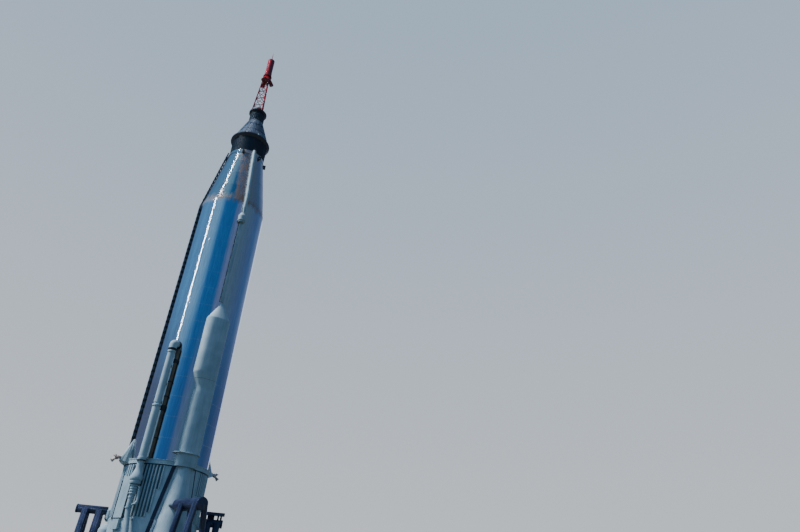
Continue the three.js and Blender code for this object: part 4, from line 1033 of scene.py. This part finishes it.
# Cable raceway: a bundle of grey cables in a low trough up the left side, strapped every 250 mm by
# broad black clips. It steps from the cylinder on to the cone.
clip_black = painted("black clip paint", "#12161a", "#20262b", "#0a0c0e", 0.62, 0.1)
RACE_BEARING, RACE_HALF, RACE_PROUD = -101, 0.075, 0.10
race_bm, strap_bm = bmesh.new(), bmesh.new()
race_lows = [(TANK_R, JOINT_Z + 0.54), (TANK_R, CYLINDER_TOP_Z - 0.05)]
race_highs = [(TANK_R - 0.012, CYLINDER_TOP_Z + 0.03), (0.925, CONE_TOP_Z - 0.03)]
for (low_r, low_z), (high_r, high_z), half, proud in ((*race_lows, RACE_HALF, RACE_PROUD),
                                                      (*race_highs, 0.07, 0.075)):
    for across in (-0.72, 0, 0.72):
        for out in (0.34, 0.74):
            add_bar(race_bm, RACE_BEARING, (low_r + out * proud, low_z), (high_r + out * proud, high_z),
                    0.019, sides=12, aside=across * half)
    run = math.hypot(high_r - low_r, high_z - low_z)
    lean = math.atan2(low_r - high_r, high_z - low_z)
    for i in range(1, round(run / 0.25)):
        share = i * 0.25 / run
        add_block(strap_bm, RACE_BEARING, low_r + (high_r - low_r) * share + 0.5 * proud - 0.004,
                  low_z + (high_z - low_z) * share, (2 * half - 0.004, proud - 0.004, 0.12), 0.008, lean)
    trough_at = at_bearing(RACE_BEARING, (low_r + high_r) / 2 + 0.18 * proud, (low_z + high_z) / 2)
    add_box(race_bm, trough_at, (2 * half - 0.01, 0.25 * proud, run), RACE_BEARING, -lean)
cable_grey = painted("grey cable jacket", "#3a444e", "#4b5661", "#171b20", 0.6, 0.3)
finish_piece(race_bm, "raceway_cables", "cable_black", cable_grey, "raceway_lower", "raceway_upper")
finish_piece(strap_bm, "raceway_clips", "cable_black", clip_black)

# Access panel: a rolled door with rounded corners, screwed all round into a doubler frame. The frame
# is a smooth sheet let in between the ridges. Its joints down both sides and below are drawn as wide
# near-black seals: real joints, with painted shade in them.
PANEL_BEARING = -71.5
panel_low, panel_high = low_and_high("access_panel")
panel_bm = copied("access_panel")
for z in (panel_low + 0.035, panel_high - 0.035):
    add_bolts(panel_bm, [PANEL_BEARING - 6.6 + 2.64 * i for i in range(6)], 1.628, z, 0.009, 0.007)
for i in range(1, 11):
    z = panel_low + 0.035 + (panel_high - panel_low - 0.07) * i / 11
    add_bolts(panel_bm, [PANEL_BEARING - 6.6, PANEL_BEARING + 6.6], 1.628, z, 0.009, 0.007)
finish_piece(panel_bm, "access_door", "pale_paint", pale_paint, "access_panel", sharp=25)
doubler_bm, door_seal_shade_bm = bmesh.new(), bmesh.new()
DEGREES_PER_METRE = math.degrees(1 / SHELL_R)
for bm, from_aside, to_aside, low, high, skin in (
    # the frame's two sides, then the seals: aside from the door's middle, heights and radius
    (doubler_bm, -0.46, -0.23, SEAM_Z + 0.004, JOINT_Z - 0.42, 1.603),
    (doubler_bm, 0.23, 0.27, SEAM_Z + 0.004, JOINT_Z - 0.42, 1.603),
    (door_seal_shade_bm, -0.39, -0.265, SEAM_Z + 0.004, JOINT_Z - 0.60, 1.612),
    (door_seal_shade_bm, 0.19, 0.262, SEAM_Z + 0.004, JOINT_Z - 0.10, 1.632),
    (door_seal_shade_bm, -0.37, 0.262, SEAM_Z - 0.026, SEAM_Z + 0.026, 1.634),
):
    spun(bm, [(1.57, low), (skin, low), (skin, high), (1.57, high)], 10,
         math.radians((to_aside - from_aside) * DEGREES_PER_METRE),
         PANEL_BEARING + from_aside * DEGREES_PER_METRE)
finish_piece(doubler_bm, "access_door_frame", "pale_paint", pale_paint, sharp=25)
finish_piece(door_seal_shade_bm, "access_door_seals_and_shade", "cable_black", rubber_and_painted_shade)

# Small covers on the engine section: a box over a connector, and a blister each side of the shell.
cover_bm = copied("box_cover")
cover_low, cover_high = low_and_high("box_cover")
for z in (cover_low + 0.03, cover_high - 0.03):
    for aside in (-0.13, 0.13):
        add_bar(cover_bm, -69, (1.705, z), (1.717, z), 0.009, sides=6, aside=aside)
finish_piece(cover_bm, "connector_cover", "pale_paint", pale_paint, "box_cover", sharp=30)
blister_bm = bmesh.new()
for bearing in (-100, 80):
    centre = at_bearing(bearing, SHELL_R, 0)
    spun(blister_bm, [(0, -2.828), (0.18, -2.829), (0.21, -2.815), (0.212, -2.79),
                      (0.238, -2.61), (0.241, -2.58), (0.241, -2.29), (0.232, -2.25),
                      (0.16, -2.13), (0.14, -2.11), (0, -2.069)], 48, centre=centre, over=JOINT_Z)
finish_piece(blister_bm, "shell_blisters", "pale_paint", pale_paint, "side_blister_1", "side_blister_2",
             sharp=25)

# Hold-down fittings: forged pads on the engine section, drilled for the stand's pins, painted with it.
fitting_bm = bmesh.new()
for bearing in (65, -115):
    out = bearing_direction(bearing)
    centre = at_bearing(bearing, 1.61, 0)
    start = set(fitting_bm.verts)
    spun(fitting_bm, [(0, -1.968), (0.10, -1.968), (0.112, -1.95), (0.178, -1.885),
                      (0.18, -1.86), (0.18, -1.62), (0.178, -1.595), (0.112, -1.53),
                      (0.10, -1.512), (0, -1.512)], 40, centre=centre, over=JOINT_Z)
    for vert in set(fitting_bm.verts) - start:
        depth = (vert.co - centre).dot(out)
        vert.co -= out * depth * 0.2
    for aside in (-0.085, 0.085):
        add_bar(fitting_bm, bearing, (1.72, JOINT_Z - 1.74), (1.755, JOINT_Z - 1.74), 0.022, sides=6,
                aside=aside)
finish_piece(fitting_bm, "hold_down_pads", "pale_paint", pale_paint, "hold_down_fitting_1",
             "hold_down_fitting_2")

# Stand: four bolted frames of thick welded pipe, gloss navy over primer. Each has a beam that points
# at the rocket and ends in a plated cap, two posts with weld beads and a sole plate with anchor bolts.
def stand_paint():
    """Gloss navy that has dulled in patches 0.4 m across, with pale scuffs."""
    material, tree, shader, place = new_material("gloss navy pipe paint", Coat_Weight=0.15,
                                                 Coat_Roughness=0.25)
    patches = add_node(tree, "TexNoise", Vector=place, Scale=2.6, Detail=4.0)
    coat = add_ramp(tree, patches, (0.35, "#1a2035"), (0.66, "#2a3148"))
    # Scuffs are patches 30 mm wide.
    scuffs = add_node(tree, "TexNoise", Vector=place, Scale=34.0, Detail=5.0)
    worn = add_ramp(tree, scuffs, (0.66, 0.0), (0.72, 0.5))
    colour = add_node(tree, "Mix", data_type="RGBA", Factor=worn, A=coat, B=linear("#6e7487"))
    set_up(shader, Base_Color=colour)
    gloss = add_node(tree, "MapRange", Value=patches, i1=0.3, i2=0.7, i3=0.42, i4=0.6)
    set_up(shader, Roughness=gloss)
    # Brush marks 10 mm apart.
    brush = add_node(tree, "TexNoise", Vector=place, Scale=95.0, Detail=2.0)
    skin = add_node(tree, "Bump", Height=brush, Strength=0.1, Distance=0.002)
    set_up(shader, Normal=skin)
    return material


def add_bead(bm, centre, axis, radius, thick=0.012, steps=40):
    """A weld bead round a pipe."""
    turn = Vector(axis).to_track_quat("Z", "Y").to_matrix().to_4x4()
    upright = Matrix.Translation(Vector((radius, 0, 0))) @ Matrix.Rotation(math.pi / 2, 4, "X")
    ring = bmesh.ops.create_circle(bm, cap_ends=False, segments=8, radius=thick, matrix=upright)
    edges = list({e for v in ring["verts"] for e in v.link_edges})
    bmesh.ops.spin(bm, geom=ring["verts"] + edges, cent=(0, 0, 0), axis=(0, 0, 1), angle=math.tau,
                   steps=steps, use_merge=True)
    verts = set(ring["verts"])
    seen = list(verts)
    while seen:
        for edge in seen.pop().link_edges:
            for vert in edge.verts:
                if vert not in verts:
                    verts.add(vert)
                    seen.append(vert)
    bmesh.ops.transform(bm, matrix=Matrix.Translation(centre) @ turn, verts=list(verts))


navy = stand_paint()
stub_painted_shade = painted("grey-blue stub paint darkened as painted shade", "#42545f", "#526672", "#27333a")
for number, bearing, swing, drop, beam_r, inner, outer, post_r, post_side, near, far, sole_in, sole_out in (
    # The beam lies lower than the joint by drop; distances are from the rocket's axis.
    (1, 0, 11, 1.40, 0.21, 2.23, 3.72, 0.108, 0.19, 2.77, 3.56, 2.30, 4.10),
    (2, 65, 0, 1.69, 0.145, 1.72, 2.50, 0.13, 0.12, 1.95, 2.28, 1.65, 3.05),
    (3, 180, 11, 1.40, 0.21, 2.23, 3.72, 0.108, 0.19, 2.77, 3.56, 2.30, 4.10),
    (4, -115, 0, 1.61, 0.145, 1.72, 2.80, 0.13, 0.12, 1.97, 2.45, 1.65, 3.05),
):
    weld_bm = copied(f"stand_frame_{number}")
    middle = at_bearing(bearing, (inner + outer) / 2, 0)
    way = Matrix.Rotation(math.radians(swing), 3, "Z") @ bearing_direction(bearing)
    across = Vector((-way.y, way.x, 0))
    reach = (inner + outer) / 2
    beam_z = JOINT_Z - drop

    def on_frame(distance, aside, z):
        return middle + way * (distance - reach) + across * aside + Vector((0, 0, z))

    add_bead(weld_bm, on_frame(outer - 0.035, 0, beam_z), way, beam_r, 0.013)
    for post in (near, far):
        for side in (-1, 1):
            foot_aside = side * (post_side + 0.135 * (beam_z - 0.036))
            add_bead(weld_bm, on_frame(post, foot_aside, 0.036), (0, 0, 1), post_r, 0.011)
    for distance in (sole_in + 0.12, (sole_in + sole_out) / 2, sole_out - 0.12):
        for side in (-0.8, 0.8):
            foot = on_frame(distance, side, 0.024)
            add_rod(weld_bm, foot, foot + Vector((0, 0, 0.03)), 0.034, sides=6)
            add_rod(weld_bm, foot + Vector((0, 0, 0.029)), foot + Vector((0, 0, 0.065)), 0.017, sides=16)
    welded = finish_piece(weld_bm, f"stand_frame_{number}_welded", "stand_blue", navy,
                          f"stand_frame_{number}", sharp=28, second=stub_painted_shade)
    # The thin stub that reaches in to the rocket is greyer than the rest, a painted shade so that it does not
    # look sunlit.
    for face in welded.data.polygons:
        spot = face.center - middle
        face.material_index = 1 if spot.z > 2 and spot.dot(way) + reach < inner - 0.003 else 0
finish_piece(copied("rest_plate"), "rest_plate_blocks", "stand_blue", navy, "rest_plate", sharp=28)

# Guy band: a plain steel strap round the top of the cone with six black lugs, each with two pins.
band_black = painted("black strap paint", "#15181b", "#24292d", "#0b0c0d", 0.45, 0.1)
band_bm = copied("guy_band")
for bearing in (-160, -115, -35, 20, 65, 110):
    for aside in (-0.045, 0.045):
        add_bar(band_bm, bearing, (0.98, CONE_TOP_Z - 0.22), (1.03, CONE_TOP_Z - 0.22), 0.014, sides=12,
                aside=aside)
guy_strap = finish_piece(band_bm, "guy_strap", "cable_black", cone_steel, "guy_band", sharp=28,
                         second=band_black)
for face in guy_strap.data.polygons:
    spot = face.center
    tank_slope = (TANK_R - CONE_TOP_R) / (CONE_TOP_Z - CYLINDER_TOP_Z)
    strap_r = CONE_TOP_R + (CONE_TOP_Z - spot.z) * tank_slope + 0.021
    face.material_index = 1 if math.hypot(spot.x, spot.y) > strap_r else 0

# Adapter: a short corrugated section between tank and capsule. Its titanium sheet is heat-blued
# nearly black and stiffened by fine vertical beads. A plain clamp ring with flared skirts sits on top.
dark_sheet = painted("dark heat-blued sheet", "#0b1117", "#151d23", "#050708", 0.5, 0.2)
dark_shingle = painted("dusty heat-blued shingle", "#1b222c", "#3a4552", "#0a0d10", 0.36, 0.8)
crest_wear_and_highlight = painted("grey bead crest, worn and painted highlight", "#47505a", "#6a747d", "#1c2126", 0.42, 0.4)
ADAPTER_LOW, ADAPTER_HIGH = low_and_high("adapter")
RING_LOW, RING_HIGH = low_and_high("clamp_ring")
CAPSULE_LOW, CAPSULE_HIGH = low_and_high("capsule_cone")


def beaded_wall(bm, profile, beads, proud, share=0.55, low=0.03, high=0.03):
    """A turned wall whose skin stands out in vertical beads between a plain lower and upper band."""
    (low_r, low_z), (high_r, high_z) = profile[0], profile[-1]
    spun(bm, [(0, low_z), *profile, (0, high_z)], 96)
    length = math.hypot(high_r - low_r, high_z - low_z) - low - high
    lean = math.atan2(low_r - high_r, high_z - low_z)
    middle_r, middle_z = (low_r + high_r) / 2, (low_z + high_z + low - high) / 2
    wide = share * math.tau * min(low_r, high_r) / beads
    for bead in range(beads):
        bearing = bead * 360 / beads
        spot = at_bearing(bearing, middle_r + 0.5 * proud - 0.001, middle_z)
        out = bearing_direction(bearing)
        for vert in add_box(bm, spot, (wide, proud + 0.002, length), bearing, -lean):
            if (vert.co - spot).dot(out) > 0 and abs(lean) < 0.2:
                aside = Vector((-out.y, out.x, 0))
                vert.co -= aside * (vert.co - spot).dot(aside) * 0.45


adapter_bm = bmesh.new()
beaded_wall(adapter_bm, [(0.880, ADAPTER_LOW), (0.895, ADAPTER_HIGH)], 84, 0.0095)
for z in (ADAPTER_LOW + 0.014, ADAPTER_HIGH - 0.014):
    add_bolts(adapter_bm, [i * 7.5 for i in range(48)], 0.884 if z < ADAPTER_LOW + 0.1 else 0.895, z, 0.008,
              0.007)
finish_piece(adapter_bm, "adapter_beads", "dark_shingle", dark_sheet, "adapter", sharp=20)

band_red = painted("dark red band paint", "#4a1512", "#6b211b", "#250a08", 0.5, 0.1)
clamp_bm = bmesh.new()
spun(clamp_bm, [(0, 0), (0.905, 0), (0.905, 0.012), (0.915, 0.018),
                (0.924, 0.045), (0.93, 0.055), (1.018, 0.132), (1.026, 0.145),
                (1.026, 0.195), (1.018, 0.207), (0.965, 0.235), (0.956, 0.243),
                (0.956, RING_HIGH - RING_LOW), (0, RING_HIGH - RING_LOW)], 96, over=RING_LOW)
for i in range(24):
    add_block(clamp_bm, 7.5 + 15 * i, 0.915, RING_LOW + 0.028, (0.05, 0.02, 0.03), 0.003)
clamp_ring = finish_piece(clamp_bm, "clamp_ring_flare", "dark_shingle", dark_sheet, "clamp_ring",
                          sharp=25, second=band_red)
for face in clamp_ring.data.polygons:
    face.material_index = 1 if RING_LOW + 0.2 < face.center.z < RING_LOW + 0.24 and face.center.y < 0 else 0

# Capsule: a blunt cone of beaded nickel-alloy shingles over a titanium pressure shell, heat-blued and
# dusty, in three rows with lapped edges and bolt washers. The left side has the hatch, the front a
# small window and a pale latch stands on the clamp ring below it.
SHINGLE_ROWS = (0.0, 0.30, 0.66, 1.0)
SHINGLES_ROUND = 12
CAPSULE_LOW_R, CAPSULE_HIGH_R = 0.946, 0.40
HATCH_BEARING = -66
capsule_bm, crest_bm = bmesh.new(), bmesh.new()
spun(capsule_bm, [(0, CAPSULE_LOW), (CAPSULE_LOW_R - 0.012, CAPSULE_LOW),
                  (CAPSULE_HIGH_R - 0.012, CAPSULE_HIGH), (0, CAPSULE_HIGH)], 96)


def capsule_point(bearing, share, proud):
    radius = CAPSULE_LOW_R + (CAPSULE_HIGH_R - CAPSULE_LOW_R) * share - 0.012 + proud
    return at_bearing(bearing, radius, CAPSULE_LOW + (CAPSULE_HIGH - CAPSULE_LOW) * share)


def add_plate(bm, bearing, half_angle, low, high, under, proud, steps=6):
    """A curved plate on the capsule's cone: a short closed outline turned part of the way round."""
    corners = [capsule_point(bearing - half_angle, share, out)
               for share, out in ((low, under), (high, under), (high, proud), (low, proud))]
    face = bm.faces.new([bm.verts.new(corner) for corner in corners])
    bmesh.ops.spin(bm, geom=[face], cent=(0, 0, 0), axis=(0, 0, 1), angle=math.radians(2 * half_angle),
                   steps=steps)
    # The start face is turned round with the rest, so the plate is closed by one more.
    bm.faces.new([bm.verts.new(corner) for corner in corners])


for low, high in zip(SHINGLE_ROWS, SHINGLE_ROWS[1:]):
    for turn in range(SHINGLES_ROUND):
        bearing = turn * 360 / SHINGLES_ROUND
        add_plate(capsule_bm, bearing, 14.5, low + 0.008, high - 0.008, -0.004, 0.005)
        # The beads' crests are lighter grey: wear, and a painted highlight along their lit crests.
        for bead in range(5):
            add_plate(crest_bm, bearing - 11.2 + 5.6 * bead, 1.15, low + 0.035, high - 0.035, 0.001, 0.0115,
                      steps=1)
        for corner in (-12.8, 12.8):
            for share in (low + 0.02, high - 0.02):
                spot = capsule_point(bearing + corner, share, 0.004)
                out = bearing_direction(bearing + corner)
                add_rod(capsule_bm, spot, spot + out * 0.006, 0.012, sides=8)
add_plate(capsule_bm, HATCH_BEARING, 17.5, 0.12, 0.60, 0.001, 0.0118, steps=8)
for share in (0.15, 0.36, 0.57):
    for side in (-15.6, 15.6):
        spot = capsule_point(HATCH_BEARING + side, share, 0.0)
        add_rod(capsule_bm, spot, spot + bearing_direction(HATCH_BEARING + side) * 0.017, 0.012, sides=6)
window_glass = painted("dark window glass", "#0a1018", "#101822", "#05080c", 0.12, 0.0)
window_bm = bmesh.new()
add_plate(window_bm, 12, 7.5, 0.70, 0.86, 0.001, 0.0116, steps=4)
finish_piece(capsule_bm, "capsule_shingles", "dark_shingle", dark_shingle, "capsule_cone", sharp=18)
finish_piece(crest_bm, "capsule_shingle_beads", "dark_shingle", crest_wear_and_highlight, sharp=18)
finish_piece(window_bm, "capsule_window", "dark_shingle", window_glass, sharp=18)
latch_bm = bmesh.new()
add_block(latch_bm, -2, 0.985, RING_LOW + 0.262, (0.10, 0.05, 0.08), 0.012)
add_block(latch_bm, -2, 1.0, RING_LOW + 0.235, (0.06, 0.04, 0.03), 0.006)
finish_piece(latch_bm, "clamp_ring_latch", "pale_paint", pale_paint)

# Recovery section: the capsule's short neck with the parachutes, in plain shingles with a lap seam,
# and the flared collar that the tower's legs stand on.
NECK_LOW, NECK_HIGH = low_and_high("recovery_section")
COLLAR_LOW, COLLAR_HIGH = low_and_high("tower_collar")
neck_bm = bmesh.new()
beaded_wall(neck_bm, [(0.388, NECK_LOW), (0.388, NECK_HIGH)], 40, 0.008, low=0.05, high=0.09)
finish_piece(neck_bm, "recovery_section_beads", "dark_shingle", dark_sheet, "recovery_section", sharp=20)
collar_bm = bmesh.new()
spun(collar_bm, [(0, 0), (0.40, 0), (0.41, 0.006), (0.474, 0.034), (0.48, 0.045),
                 (0.48, 0.108), (0.474, 0.117), (0.41, 0.134), (0.40, 0.14),
                 (0, COLLAR_HIGH - COLLAR_LOW)], 72, over=COLLAR_LOW)
add_bolts(collar_bm, [15 + 30 * i for i in range(12)], 0.478, COLLAR_LOW + 0.075, 0.012, 0.012)
finish_piece(collar_bm, "tower_collar_ring", "dark_shingle", band_black, "tower_collar", sharp=25)

# Antenna canister: a stepped can in dark maroon fibre with bands, on top of the neck.
maroon = painted("dark maroon fibre", "#3a1a1b", "#512627", "#1a0b0b", 0.5, 0.1)
CAN_LOW, CAN_HIGH = low_and_high("antenna_canister")
CAN_H = CAN_HIGH - CAN_LOW
can_bm = bmesh.new()
spun(can_bm, [(0, 0), (0.15, 0), (0.15, 0.03), (0.138, 0.036), (0.132, 0.33),
              (0.124, 0.345), (0.08, CAN_H - 0.1), (0.078, CAN_H - 0.02), (0.065, CAN_H), (0, CAN_H)], 40,
     over=CAN_LOW)
finish_piece(can_bm, "antenna_can", "dark_shingle", maroon, "antenna_canister")

# Escape tower: a triangular lattice of welded steel tube, red oxide paint gone slightly pink in the
# sun, under a red rocket motor with three canted nozzles, a ballast collar and a pointed spike.
tower_red = painted("signal red paint", "#6a090b", "#820f10", "#2a0506", 0.32, 0.4)
tower_bm = copied("escape_tower")
tower_low = low_and_high("escape_tower")[0]
for bearing in (4, 124, -116):
    for aside in (-0.022, 0.022):
        add_bar(tower_bm, bearing, (0.38, tower_low + 0.004), (0.38, tower_low + 0.034), 0.009, sides=6,
                aside=aside)
finish_piece(tower_bm, "escape_tower_welded", "tower_red", tower_red, "escape_tower", sharp=35)
finish_piece(copied("escape_nozzles"), "escape_nozzle_bells", "tower_red", tower_red, "escape_nozzles",
             sharp=30)
MOTOR_LOW, MOTOR_HIGH = low_and_high("escape_motor")
MOTOR_H = MOTOR_HIGH - MOTOR_LOW
motor_bm = bmesh.new()
spun(motor_bm, [(0, 0), (0.235, 0), (0.245, 0.008), (0.245, 0.052), (0.235, 0.06),
                (0.205, 0.066), (0.205, 0.318), (0.198, 0.325), (0.178, 0.328),
                (0.178, 0.335), (0.19, 0.34), (0.19, 1.36), (0.184, 1.364),
                (0.184, 1.372), (0.19, 1.376), (0.19, MOTOR_H - 0.065), (0.185, MOTOR_H - 0.055),
                (0.135, MOTOR_H - 0.004), (0.13, MOTOR_H), (0, MOTOR_H)], 64, over=MOTOR_LOW)
add_bolts(motor_bm, [22.5 * i for i in range(16)], 0.243, MOTOR_LOW + 0.03, 0.009, 0.004)
finish_piece(motor_bm, "escape_motor_case", "tower_red", tower_red, "escape_motor")
finish_piece(copied("nose_spike"), "nose_spike_tip", "tower_red", tower_red, "nose_spike", sharp=30)
